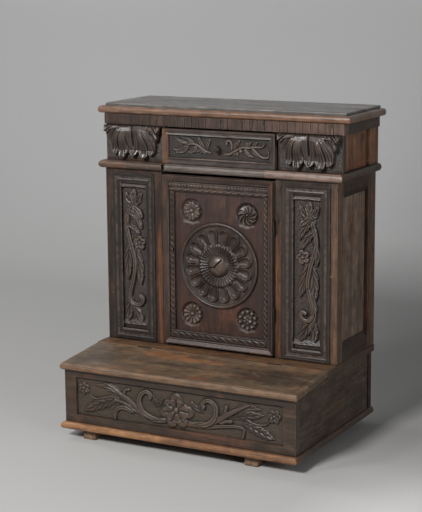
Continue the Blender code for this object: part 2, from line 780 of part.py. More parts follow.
def lock_plate(name, xs, zs, plate_depth, bolt_spans, bridge_xs, keyhole, parent=None):
    """An iron plate behind a keyhole with two bridges that hold a sliding bolt."""
    bolt_depths, bolt_zs = bolt_spans
    plate = bmesh.new()
    box_into(plate, (min(xs), y_at(plate_depth), min(zs)),
             (max(xs), y_at(plate_depth - LOCK_PLATE), max(zs)))
    shapes = [plate]
    bridge_back = min(bolt_depths) - KNUCKLE_PLAY - BRIDGE_WALL
    reach = BRIDGE_WALL + KNUCKLE_PLAY
    for x in bridge_xs:
        bridge = bmesh.new()
        box_into(bridge, (x - BRIDGE_WIDTH / 2, y_at(plate_depth - LOCK_PLATE / 2), min(bolt_zs) - reach),
                 (x + BRIDGE_WIDTH / 2, y_at(bridge_back), max(bolt_zs) + reach))
        shapes.append(bridge)
    item = place(name, union_of(shapes, name), (0, 0, 0), iron(name), parent)
    channel = bmesh.new()
    box_into(channel,
             (min(xs), y_at(max(bolt_depths) + KNUCKLE_PLAY), min(bolt_zs) - KNUCKLE_PLAY),
             (max(xs), y_at(min(bolt_depths) - KNUCKLE_PLAY), max(bolt_zs) + KNUCKLE_PLAY))
    combine(item, cutter(f"{name}_channel", channel, (0, 0, 0)))
    combine(item, keyhole)
    return item


def lid_lock(lid_axis, bolt_axis):
    """The chest's lock: a plate inside the front, its bolt, and the staple under the lid."""
    inner = CHEST_DEPTH - CHEST_BOARD - FIT
    top = lid_underside(inner) - LID_LOCK_TOP_GAP
    half = LID_LOCK_WIDTH / 2
    bolt_front = inner - LOCK_PLATE - LID_BOLT_STANDOFF
    bolt_depths = (bolt_front - BOLT_THICKNESS, bolt_front)
    bolt_top = top - LID_BOLT_BELOW_TOP + BOLT_HEIGHT / 2
    bolt_zs = (bolt_top - BOLT_HEIGHT, bolt_top)
    keyhole_z = BASE_TOP + CARVED_FRAME_Z + CHEST_KEYHOLE_ABOVE_FIELD
    hole_depths = (inner - LOCK_PLATE - OVERRUN / 2, inner + OVERRUN)
    hole = keyhole_cutter("lid_lock_keyhole", 0, hole_depths, keyhole_z)
    lock_plate("lid_lock_plate", (-half, half), (top - LID_LOCK_HEIGHT, top), inner,
               (bolt_depths, bolt_zs), (-BRIDGE_FAR_X, -BRIDGE_NEAR_X), hole)
    bolt_xs = (-LID_BOLT_REST_X - LID_BOLT_LENGTH, -LID_BOLT_REST_X)
    board("lid_lock_bolt", bolt_xs, bolt_depths, bolt_zs, iron("lid_lock_bolt"), bolt_axis, ease=False)
    staple(lid_axis, sum(bolt_depths) / 2, bolt_zs)


def staple(axis, middle_depth, bolt_zs):
    """The staple under the lid, whose eye the bolt passes through."""
    depths = (middle_depth - STAPLE_WIDTH / 2, middle_depth + STAPLE_WIDTH / 2)
    seat = min(lid_underside(depths[1]), lid_underside(depths[0])) - FIT
    half = STAPLE_THICKNESS / 2
    item = board("lid_staple", (-half, half), depths, (seat - STAPLE_DROP, seat), iron("lid_staple"),
                 axis, ease=False)
    eye = block((STAPLE_THICKNESS + OVERRUN, BOLT_THICKNESS + 2 * STAPLE_EYE_MARGIN,
                 BOLT_HEIGHT + 2 * STAPLE_EYE_MARGIN))
    centre = (0, y_at(middle_depth), (bolt_zs[0] + bolt_zs[1]) / 2)
    combine(item, cutter("lid_staple_eye", eye, centre))


def pilaster_ring_spans(sign):
    """Outer spans of the moulded frame on a pilaster, in X and in Z."""
    near = HALF_DOOR_OPENING + PILASTER_RING_INNER_STILE
    far = HALF_CASE - PILASTER_RING_OUTER_STILE
    zs = (STEP_TOP + PILASTER_RING_BOTTOM_GAP, SHELF_BOTTOM - PILASTER_RING_TOP_GAP)
    return span(sign, near, far), zs


def pilasters():
    """The two front boards of the cupboard, each with a sunk field and a moulded frame."""
    zs = (STEP_TOP, SHELF_BOTTOM - FIT)
    depths = (CASE_DEPTH - PILASTER_THICKNESS, CASE_DEPTH)
    ring_size = (PILASTER_RING_WIDTH, PILASTER_RING_SEAT + PILASTER_RING_PROUD)
    for side, sign in SIDES:
        name = f"pilaster_board_{side}"
        post = board(name, span(sign, HALF_DOOR_OPENING, HALF_CASE), depths, zs, walnut(name))
        ring_xs, ring_zs = pilaster_ring_spans(sign)
        field_xs = (ring_xs[0] + PILASTER_RING_WIDTH, ring_xs[1] - PILASTER_RING_WIDTH)
        field_zs = (ring_zs[0] + PILASTER_RING_WIDTH, ring_zs[1] - PILASTER_RING_WIDTH)
        cut_box(post, f"pilaster_field_{side}", field_xs,
                (CASE_DEPTH - PILASTER_RECESS, CASE_DEPTH + OVERRUN), field_zs)
        cut_box(post, f"pilaster_seat_{side}", (ring_xs[0] - FIT, ring_xs[1] + FIT),
                (CASE_DEPTH - PILASTER_RING_SEAT - FIT, CASE_DEPTH + OVERRUN),
                (ring_zs[0] - FIT, ring_zs[1] + FIT))
        ring = f"pilaster_moulding_{side}"
        moulding_ring(ring, ring_xs, ring_zs, CASE_DEPTH - PILASTER_RING_SEAT, ring_size,
                      PILASTER_RING_SHARES, walnut(ring))
        if sign < 0:
            bolt_pocket(post)


def door_bolt_spans():
    """Depth and height spans of the door's bolt."""
    front = DOOR_BACK_DEPTH - FIT - LOCK_PLATE - DOOR_BOLT_STANDOFF
    middle = DOOR_KEYHOLE_Z - DOOR_BOLT_BELOW_KEYHOLE - BOLT_HEIGHT
    return (front - BOLT_THICKNESS, front), (middle - BOLT_HEIGHT / 2, middle + BOLT_HEIGHT / 2)


def bolt_pocket(post):
    """The mortise in the left pilaster's edge that takes the door's bolt."""
    depths, zs = door_bolt_spans()
    reach = BOLT_TRAVEL + BOLT_POCKET_EXTRA
    cut_box(post, "door_bolt_pocket", (-HALF_DOOR_OPENING - reach, -HALF_DOOR_OPENING + OVERRUN),
            (depths[0] - BOLT_POCKET_PLAY, depths[1] + BOLT_POCKET_PLAY),
            (zs[0] - BOLT_POCKET_PLAY, zs[1] + BOLT_POCKET_PLAY))


def cupboard_sides():
    """Framed sides: rear stiles, chamfered rails and sunk panels."""
    zs = (STEP_TOP, SHELF_BOTTOM - FIT)
    rear = SIDE_STILE_WIDTH + FIT
    front = CASE_DEPTH - PILASTER_THICKNESS - FIT
    panel_low = STEP_TOP + SIDE_BOTTOM_RAIL + SIDE_BOTTOM_CHAMFER
    panel_high = SHELF_BOTTOM - SIDE_TOP_RAIL - SIDE_TOP_CHAMFER
    for side, sign in SIDES:
        name = f"cupboard_rear_stile_{side}"
        board(name, span(sign, HALF_CASE - STILE_THICKNESS, HALF_CASE), (0, SIDE_STILE_WIDTH), zs,
              walnut(name))
        side_rail(f"side_bottom_rail_{side}", sign, (rear, front), STEP_TOP,
                  (SIDE_BOTTOM_RAIL, SIDE_BOTTOM_CHAMFER))
        side_rail(f"side_top_rail_{side}", sign, (rear, front), SHELF_BOTTOM - FIT,
                  (-SIDE_TOP_RAIL, -SIDE_TOP_CHAMFER))
        name = f"side_panel_{side}"
        outer = HALF_CASE - SIDE_PANEL_SUNK
        board(name, span(sign, outer - SIDE_PANEL_THICKNESS, outer),
              (rear + SIDE_PANEL_REAR_GAP, front), (panel_low + FIT, panel_high - FIT), walnut(name))


def side_rail(name, sign, depths, edge, rises):
    """A rail of a framed side, chamfered towards its panel.

    The flat and the chamfer rise from the rail's edge, or hang from it where they are negative.
    """
    flat, chamfer = rises
    outer = sign * HALF_CASE
    sunk = sign * (HALF_CASE - SIDE_CHAMFER_DEPTH)
    inner = sign * (HALF_CASE - SIDE_RAIL_THICKNESS)
    outline = (
        (inner, edge),
        (outer, edge),
        (outer, edge + flat),
        (sunk, edge + flat + chamfer),
        (inner, edge + flat + chamfer),
    )
    mesh = outline_solid(name, outline, max(depths) - min(depths))
    mesh.transform(Matrix.Rotation(math.pi / 2, 4, "X"))
    place(name, mesh, (0, y_at(sum(depths) / 2), 0), walnut(name))


def cupboard_back():
    """The plain board that closes the back of the cupboard."""
    half = HALF_CASE - STILE_THICKNESS - FIT
    board("cupboard_back_board", (-half, half), (BACK_INSET, BACK_INSET + BACK_THICKNESS),
          (STEP_TOP, SHELF_BOTTOM - FIT), plain_wood("cupboard_back_board"))


def door(axis, bolt_axis):
    """The cupboard's door: board with a sunk field, raised moulding, carved patera and lock."""
    xs = (DOOR_LEFT_X, DOOR_RIGHT_X)
    zs = (DOOR_BOTTOM, DOOR_TOP)
    field_xs = (xs[0] + DOOR_STILE, xs[1] - DOOR_STILE)
    field_zs = (zs[0] + DOOR_BOTTOM_RAIL, zs[1] - DOOR_TOP_RAIL)
    leaf = board("door_board", xs, (DOOR_BACK_DEPTH, CASE_DEPTH), zs, walnut("door_board"), axis)
    cut_box(leaf, "door_field", field_xs, (DOOR_FIELD_DEPTH, CASE_DEPTH + OVERRUN), field_zs, axis)
    keyhole_x = xs[0] + DOOR_KEYHOLE_X_INSET
    depths = (DOOR_BACK_DEPTH - OVERRUN, CASE_DEPTH + OVERRUN)
    combine(leaf, keyhole_cutter("door_keyhole", keyhole_x, depths, DOOR_KEYHOLE_Z, axis))
    ring_xs = (xs[0] + DOOR_RING_INSET, xs[1] - DOOR_RING_INSET)
    ring_zs = (zs[0] + DOOR_RING_INSET, zs[1] - DOOR_RING_INSET)
    moulding_ring("door_moulding", ring_xs, ring_zs, CASE_DEPTH + FIT, (DOOR_RING_WIDTH, DOOR_RING_PROUD),
                  DOOR_RING_SHARES, walnut("door_moulding"), axis)
    middle_x = sum(field_xs) / 2
    for row, height in (("lower", field_zs[0] + DISH_ABOVE_FIELD_BOTTOM),
                        ("upper", field_zs[1] - DISH_BELOW_FIELD_TOP)):
        for side, sign in SIDES:
            combine(leaf, dish_cutter(f"door_dish_{row}_{side}", middle_x + sign * DISH_X, height, axis))
    field_sides = (field_xs[1] - field_xs[0], field_zs[1] - field_zs[0])
    radius = PATERA_FIELD_SHARE * min(field_sides) / 2
    profile = shaped(PATERA_SHARES, radius, PATERA_BOSS_HEIGHT)
    centre = (middle_x, y_at(DOOR_FIELD_DEPTH + FIT), sum(field_zs) / 2 - PATERA_BELOW_FIELD_MIDDLE)
    turned("door_patera", profile, PATERA_STEPS, centre, walnut("door_patera"), axis)
    door_lock(axis, bolt_axis, keyhole_x)


def dish_cutter(name, x, z, axis):
    """A shallow turned hollow with a flat floor."""
    profile = ((0, OVERRUN), (DISH_RADIUS, OVERRUN), (DISH_RADIUS, 0),
               (DISH_FLOOR_SHARE * DISH_RADIUS, -DISH_DEPTH), (0, -DISH_DEPTH))
    tool = turned(name, profile, DISH_STEPS, (x, y_at(DOOR_FIELD_DEPTH), z), None, axis)
    PARTS.objects.unlink(tool)
    CUTTERS.objects.link(tool)
    tool.hide_render = True
    tool.display_type = "WIRE"
    return tool


def door_lock(axis, bolt_axis, keyhole_x):
    """The door's lock plate behind the left stile, with its sliding bolt."""
    plate_front = DOOR_BACK_DEPTH - FIT
    left = DOOR_LEFT_X + DOOR_LOCK_EDGE_GAP
    xs = (left, left + DOOR_LOCK_WIDTH)
    zs = (DOOR_KEYHOLE_Z - DOOR_LOCK_HEIGHT / 2, DOOR_KEYHOLE_Z + DOOR_LOCK_HEIGHT / 2)
    bolt_depths, bolt_zs = door_bolt_spans()
    bridges = (left + DOOR_BRIDGE_NEAR, left + DOOR_BRIDGE_FAR)
    hole_depths = (plate_front - LOCK_PLATE - FIT, plate_front + OVERRUN)
    hole = keyhole_cutter("door_lock_keyhole", keyhole_x, hole_depths, DOOR_KEYHOLE_Z, axis)
    lock_plate("door_lock_plate", xs, zs, plate_front, (bolt_depths, bolt_zs), bridges, hole, axis)
    start = DOOR_LEFT_X + DOOR_BOLT_EDGE_GAP
    board("door_lock_bolt", (start, start + DOOR_BOLT_LENGTH), bolt_depths, bolt_zs,
          iron("door_lock_bolt"), bolt_axis, ease=False)


def shelf():
    """The board over the cupboard with half-round sides and the drawer's guides on it."""
    item = board("shelf_board", (-HALF_SHELF, HALF_SHELF), (0, SHELF_DEPTH),
                 (SHELF_BOTTOM, SHELF_TOP - FIT), walnut("shelf_board"), ease=False)
    front = SHELF_DEPTH + FIT
    near = HALF_DOOR_OPENING - 2 * DRAWER_SIDE_PLAY + GUIDE_PLAY
    guide_depths = (GUIDE_BACK_INSET, STAGE_DEPTH - STAGE_FRONT_THICKNESS - FIT)
    for side, sign in SIDES:
        combine(item, half_round_side(f"shelf_edge_{side}", sign, front), "UNION")
        guide = bmesh.new()
        xs = span(sign, near, near + GUIDE_WIDTH)
        box_into(guide, (xs[0], y_at(guide_depths[1]), SHELF_TOP - OVERRUN),
                 (xs[1], y_at(guide_depths[0]), SHELF_TOP + GUIDE_HEIGHT))
        combine(item, cutter(f"drawer_guide_{side}", guide, (0, 0, 0)), "UNION")
    corner = HALF_SHELF + FIT
    left_end = TORUS_LEFT_OVERLAP - HALF_DOOR_OPENING
    joint = HALF_DOOR_OPENING - TORUS_JOINT_INSET
    half_round_front("torus_left", -corner, left_end, front, mitre_low=True)
    half_round_front("torus_centre", left_end + TORUS_GAP, joint - FIT, front)
    half_round_front("torus_right", joint, corner, front, mitre_high=True)


def half_round_prism(name, radius, length):
    """A half-round strip along its own Z, outwards along X and up along Y."""
    turns = [math.pi * step / TORUS_STEPS - math.pi / 2 for step in range(TORUS_STEPS + 1)]
    points = [(radius * math.cos(turn), radius * math.sin(turn)) for turn in turns]
    return outline_solid(name, points, length)


def half_round_front(name, low_x, high_x, depth, mitre_low=False, mitre_high=False):
    """A half-round strip along the front, its outer end mitred where asked."""
    mesh = half_round_prism(name, TORUS_RADIUS - FIT / 2, high_x - low_x)
    for vert in mesh.vertices:
        outward, up, along = vert.co
        if mitre_low and along < 0:
            along -= outward - FIT
        if mitre_high and along > 0:
            along += outward - FIT
        vert.co = (along, -outward, up)
    recalculate(mesh)
    middle = ((low_x + high_x) / 2, y_at(depth), SHELF_TOP - (SHELF_THICKNESS + FIT) / 2)
    place(name, mesh, middle, worn_walnut(name))


def half_round_side(name, sign, front):
    """A tool with the half-round edge along a side, mitred to the front strip."""
    mesh = half_round_prism(name, TORUS_RADIUS - FIT / 2 - WELD, front)
    for vert in mesh.vertices:
        outward, up, along = vert.co
        if along > 0:
            along += outward - 2 * FIT
        vert.co = (sign * (HALF_SHELF - WELD + outward), -along, up)
    bm = bmesh.new()
    bm.from_mesh(mesh)
    bpy.data.meshes.remove(mesh)
    return cutter(name, bm, (0, y_at(front / 2), SHELF_TOP - (SHELF_THICKNESS + FIT) / 2))


def recalculate(mesh):
    """Point a mesh's faces outwards."""
    bm = bmesh.new()
    bm.from_mesh(mesh)
    bmesh.ops.recalc_face_normals(bm, faces=bm.faces)
    bm.to_mesh(mesh)
    bm.free()


def drawer_stage():
    """The stage round the drawer: corner boards, slotted sides and the back."""
    zs = (SHELF_TOP, STAGE_TOP - FIT)
    front_depths = (STAGE_DEPTH - STAGE_FRONT_THICKNESS, STAGE_DEPTH)
    side_front = front_depths[0] - FIT
    cut_zs = (zs[0] - OVERRUN, zs[1] + OVERRUN)
    for side, sign in SIDES:
        name = f"corbel_ground_{side}"
        board(name, span(sign, HALF_DOOR_OPENING, HALF_STAGE), front_depths, zs, walnut(name))
        name = f"stage_side_{side}"
        item = board(name, span(sign, HALF_STAGE - STAGE_SIDE_THICKNESS, HALF_STAGE), (0, side_front), zs,
                     walnut(name), ease=False)
        panel_xs = span(sign, HALF_STAGE - STAGE_SIDE_SUNK, HALF_STAGE + OVERRUN)
        cut_box(item, f"stage_panel_{side}", panel_xs, (STAGE_STILE_WIDTH, side_front + OVERRUN), cut_zs)
        slot_xs = span(sign, HALF_STAGE - STAGE_SLOT_SUNK, HALF_STAGE + OVERRUN)
        cut_box(item, f"stage_slot_{side}", slot_xs, (STAGE_STILE_WIDTH, STAGE_STILE_WIDTH + STAGE_SLOT),
                cut_zs)
        ease_edges(item)
    half = HALF_STAGE - STAGE_SIDE_THICKNESS - FIT
    board("stage_back_board", (-half, half), (BACK_INSET, BACK_INSET + BACK_THICKNESS),
          (SHELF_TOP, TOP_BOTTOM - FIT), plain_wood("stage_back_board"))


def leaf_height(across, up):
    """How far a corbel's leaf stands out, for across from -1 to 1 and up from 0 to 1."""
    rise = 0.36 + 0.64 * math.sin(math.pi * min(1.0, up / 0.84) / 2) ** 1.6
    curl = 1.0 - 0.10 * max(0.0, up - 0.84) / 0.16
    tips = 0.10 * math.exp(-((up - 0.10) / 0.07) ** 2)
    edge = 1.0 - abs(across) ** 6
    lobes = 0.84 + 0.16 * abs(math.cos(2.0 * math.pi * across))
    volute = 0.16 * math.exp(-((abs(across) - 0.80) / 0.13) ** 2 - ((up - 0.84) / 0.16) ** 2)
    rib = 0.13 * math.exp(-(across / 0.05) ** 2)
    notch = max(0.0, 1.0 - up / 0.16) * (1.0 - abs(math.cos(1.5 * math.pi * across)) ** 0.6)
    share = (rise * curl * lobes + tips + volute - rib) * edge
    return max(0.0, share * (1.0 - notch))


def corbels():
    """The two leaf corbels beside the drawer."""
    low = SHELF_TOP + CORBEL_BOTTOM_GAP
    high = STAGE_TOP - CORBEL_TOP_GAP
    near = HALF_DOOR_OPENING + CORBEL_INNER_INSET
    far = HALF_STAGE - CORBEL_SIDE_INSET
    for side, sign in SIDES:
        name = f"corbel_{side}"
        bm = bmesh.new()
        bmesh.ops.create_grid(bm, x_segments=CORBEL_GRID_ACROSS, y_segments=CORBEL_GRID_UP,
                              size=0.5)
        flat = list(bm.faces)
        made = bmesh.ops.extrude_face_region(bm, geom=flat, use_keep_orig=True)
        front = [item for item in made["geom"] if isinstance(item, bmesh.types.BMVert)]
        for vert in front:
            share = leaf_height(2.0 * vert.co.x, vert.co.y + 0.5)
            vert.co.z = CORBEL_RIM + CORBEL_BELLY * share
        bmesh.ops.dissolve_faces(bm, faces=flat)
        for vert in bm.verts:
            vert.co = (vert.co.x * (far - near), -vert.co.z, vert.co.y * (high - low))
        centre = (sign * (near + far) / 2, y_at(STAGE_DEPTH + FIT), (low + high) / 2)
        item = place(name, mesh_from(bm, name), centre, walnut(name))
        item.data.shade_smooth()


def frieze():
    """The rail under the top: a grooved front and two plain sides."""
    zs = (STAGE_TOP, TOP_BOTTOM - FIT)
    half = HALF_STAGE + FRIEZE_PROUD_SIDE
    front_depth = STAGE_DEPTH + FRIEZE_PROUD_FRONT
    depths = (front_depth - FRIEZE_FRONT_THICKNESS, front_depth)
    front = board("frieze_front", (-half, half), depths, zs, walnut("frieze_front"))
    bm = block((GROOVE_WIDTH, GROOVE_DEPTH + OVERRUN, FRIEZE_HEIGHT + OVERRUN))
    middle_depth = front_depth + (OVERRUN - GROOVE_DEPTH) / 2
    first = (half - GROOVE_FIRST_INSET, y_at(middle_depth), sum(zs) / 2)
    tool = cutter("frieze_grooves", bm, first)
    row = tool.modifiers.new("row of grooves", "ARRAY")
    row.use_relative_offset = False
    row.use_constant_offset = True
    row.constant_offset_displace = (-GROOVE_PITCH, 0, 0)
    row.count = GROOVE_COUNT
    combine(front, tool)
    for side, sign in SIDES:
        name = f"frieze_{side}"
        board(name, span(sign, HALF_STAGE - STAGE_SIDE_THICKNESS, half), (0, depths[0] - FIT), zs,
              walnut(name))


def top_board():
    """The top: a board with a rounded nose and a stepped upper face."""
    half = HALF_CASE + TOP_OVERHANG_SIDE
    depth = STAGE_DEPTH + TOP_OVERHANG_FRONT
    nose_top = TOP_BOTTOM + TOP_NOSE_THICKNESS
    top = nosed_board("top_board", (-half, half), (0, depth), (TOP_BOTTOM, nose_top), TOP_NOSE,
                      top_walnut("top_board"))
    upper_half = half - TOP_STEP
    low = Vector((-upper_half, y_at(depth - TOP_STEP), nose_top - OVERRUN))
    high = Vector((upper_half, y_at(0), TOTAL_HEIGHT))
    size = high - low
    bm = block(size)
    edges = [edge for edge in bm.edges if all(vert.co.z > 0 for vert in edge.verts)
             and not all(vert.co.y > 0 for vert in edge.verts)]
    bmesh.ops.bevel(bm, geom=edges, offset=TOP_FILLET_NOSE, segments=NOSE_SEGMENTS, profile=0.5,
                    affect="EDGES")
    combine(top, cutter("top_upper_step", bm, (low + high) / 2), "UNION")


def drawer(axis):
    """The drawer: moulded front, box and turned knob."""
    half = HALF_DOOR_OPENING - DRAWER_SIDE_PLAY
    low = SHELF_TOP
    high = STAGE_TOP - DRAWER_TOP_PLAY
    front_depths = (DRAWER_FRONT_DEPTH - DRAWER_FRONT_THICKNESS, DRAWER_FRONT_DEPTH)
    board("drawer_front", (-half, half), front_depths, (low, high), walnut("drawer_front"), axis)
    inset = EDGE_EASE
    moulding_ring("drawer_moulding", (-half + inset, half - inset), (low + inset, high - inset),
                  DRAWER_FRONT_DEPTH + FIT, (DRAWER_RING_WIDTH, DRAWER_RING_PROUD), DRAWER_RING_SHARES,
                  walnut("drawer_moulding"), axis)
    drawer_box(axis, low, high, half, front_depths[0] - FIT)
    profile = shaped(KNOB_SHARES, KNOB_RADIUS, KNOB_LENGTH)
    turned("drawer_knob", profile, KNOB_STEPS, (0, y_at(DRAWER_FRONT_DEPTH + FIT), (low + high) / 2),
           worn_walnut("drawer_knob"), axis)


def drawer_box(axis, low, high, half, box_front):
    """The drawer's sides, back and bottom behind its front."""
    side_outer = half - DRAWER_SIDE_PLAY
    side_inner = side_outer - DRAWER_BOARD
    box_high = high - DRAWER_SIDE_LOWER
    depths = (DRAWER_BACK_INSET, box_front)
    for side, sign in SIDES:
        name = f"drawer_side_{side}"
        board(name, span(sign, side_inner, side_outer), depths, (low, box_high), plain_wood(name), axis)
    back_depths = (DRAWER_BACK_INSET, DRAWER_BACK_INSET + DRAWER_BOARD)
    bottom_low = low + DRAWER_BOTTOM_ABOVE
    bottom_high = bottom_low + DRAWER_BOTTOM_THICKNESS
    inner = side_inner - FIT
    board("drawer_back", (-inner, inner), back_depths, (bottom_high + FIT, box_high),
          plain_wood("drawer_back"), axis)
    board("drawer_bottom", (-inner, inner), depths, (bottom_low, bottom_high),
          plain_wood("drawer_bottom"), axis)


def lid_axis_empty():
    """The marker on the lid's hinge line."""
    return joint_empty("lid_axis", (0, y_at(HINGE_DEPTH), STEP_TOP))


def door_axis_empty():
    """The marker on the door's hinge line."""
    return joint_empty("door_axis", (DOOR_AXIS_X, y_at(CASE_DEPTH + DOOR_HINGE_PROUD), DOOR_BOTTOM))


def build():
    """Make every piece of the stool."""
    clear_scene()
    lid_axis = lid_axis_empty()
    door_axis = door_axis_empty()
    drawer_axis = joint_empty("drawer_run", (0, y_at(DRAWER_FRONT_DEPTH), SHELF_TOP))
    lid_bolt_axis = joint_empty("lid_bolt_run", (0, y_at(CHEST_DEPTH), STEP_BOTTOM))
    door_bolt_axis = joint_empty("door_bolt_run", (DOOR_LEFT_X, y_at(DOOR_BACK_DEPTH), DOOR_BOTTOM))
    foot_battens()
    base_board()
    chest_front()
    chest_sides()
    chest_back()
    step_board()
    lid(lid_axis)
    lid_hinges(lid_axis)
    lid_lock(lid_axis, lid_bolt_axis)
    pilasters()
    cupboard_sides()
    cupboard_back()
    door(door_axis, door_bolt_axis)
    door_hinges(door_axis)
    shelf()
    drawer_stage()
    corbels()
    frieze()
    top_board()
    drawer(drawer_axis)


build()
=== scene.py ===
"""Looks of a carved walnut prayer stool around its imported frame.

The frame carries every board, moulding, hinge and lock. This script cuts the carving into its sunk
fields as relief surfaces, turns the door's patera and rosettes, and dresses every board in worn walnut.
Lengths in the carving tables are millimetres; everything that reaches a mesh is metres. A colour is
written as the six hex digits of its display red, green and blue.
"""
from __future__ import annotations

import logging
import math
from dataclasses import dataclass, replace
from enum import Enum
from functools import partial
from typing import Callable, Sequence

import bpy
import numpy as np
from mathutils import Matrix, Vector


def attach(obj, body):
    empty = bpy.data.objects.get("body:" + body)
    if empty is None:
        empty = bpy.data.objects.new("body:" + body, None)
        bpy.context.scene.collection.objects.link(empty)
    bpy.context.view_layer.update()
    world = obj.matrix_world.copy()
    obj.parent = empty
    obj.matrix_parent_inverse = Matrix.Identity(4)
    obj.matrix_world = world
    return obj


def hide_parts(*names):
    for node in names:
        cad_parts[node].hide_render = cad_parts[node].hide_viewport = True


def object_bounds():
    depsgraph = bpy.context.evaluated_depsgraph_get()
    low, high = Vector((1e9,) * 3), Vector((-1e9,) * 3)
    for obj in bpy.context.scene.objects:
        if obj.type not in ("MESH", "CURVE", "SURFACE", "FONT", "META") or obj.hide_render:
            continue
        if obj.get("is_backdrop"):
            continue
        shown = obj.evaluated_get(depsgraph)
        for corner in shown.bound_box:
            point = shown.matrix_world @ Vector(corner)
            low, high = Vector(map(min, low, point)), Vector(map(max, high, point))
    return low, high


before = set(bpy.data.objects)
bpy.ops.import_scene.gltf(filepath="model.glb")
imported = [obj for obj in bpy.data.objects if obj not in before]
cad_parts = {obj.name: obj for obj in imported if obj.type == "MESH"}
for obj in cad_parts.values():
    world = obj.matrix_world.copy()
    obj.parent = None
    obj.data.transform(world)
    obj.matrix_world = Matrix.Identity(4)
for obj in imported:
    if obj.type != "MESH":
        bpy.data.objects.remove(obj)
CAD_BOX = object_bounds()
LOG = logging.getLogger("prayer_stool")

Light = tuple[float, float, float]
Point = tuple[float, float]
Socket = bpy.types.NodeSocket
MM = 0.001
TURN = 2 * math.pi
BACK = 0.259            # y of the flat back; depths run forward from it


def y_at(depth: float | np.ndarray) -> float | np.ndarray:
    """The frame's y for a depth measured forward from the flat back."""
    return BACK - depth


def linear(colour: str) -> Light:
    """A colour's hex digits as linear light."""
    values = (int(colour[k:k + 2], 16) / 255 for k in (0, 2, 4))
    return tuple(v / 12.92 if v <= 0.04045 else ((v + 0.055) / 1.055) ** 2.4 for v in values)


def rgba(colour: str | Light) -> tuple[float, ...]:
    """Hex digits or linear light as an opaque socket colour."""
    return (*(linear(colour) if isinstance(colour, str) else colour), 1.0)


def held(value: np.ndarray, least: float = 0.0) -> np.ndarray:
    """A value held between its least and 1."""
    return np.clip(value, least, 1)


def dome(x: np.ndarray) -> np.ndarray:
    """A circle's height over a share of its radius: (1 - x^2)^1/2, and 0 beyond it."""
    return np.sqrt(held(1 - x ** 2))


# Materials

class Grain(Enum):
    """The way the wood's fibres run."""
    ACROSS = 0
    DEEP = 1
    UP = 2


ACROSS, DEEP, UP = Grain


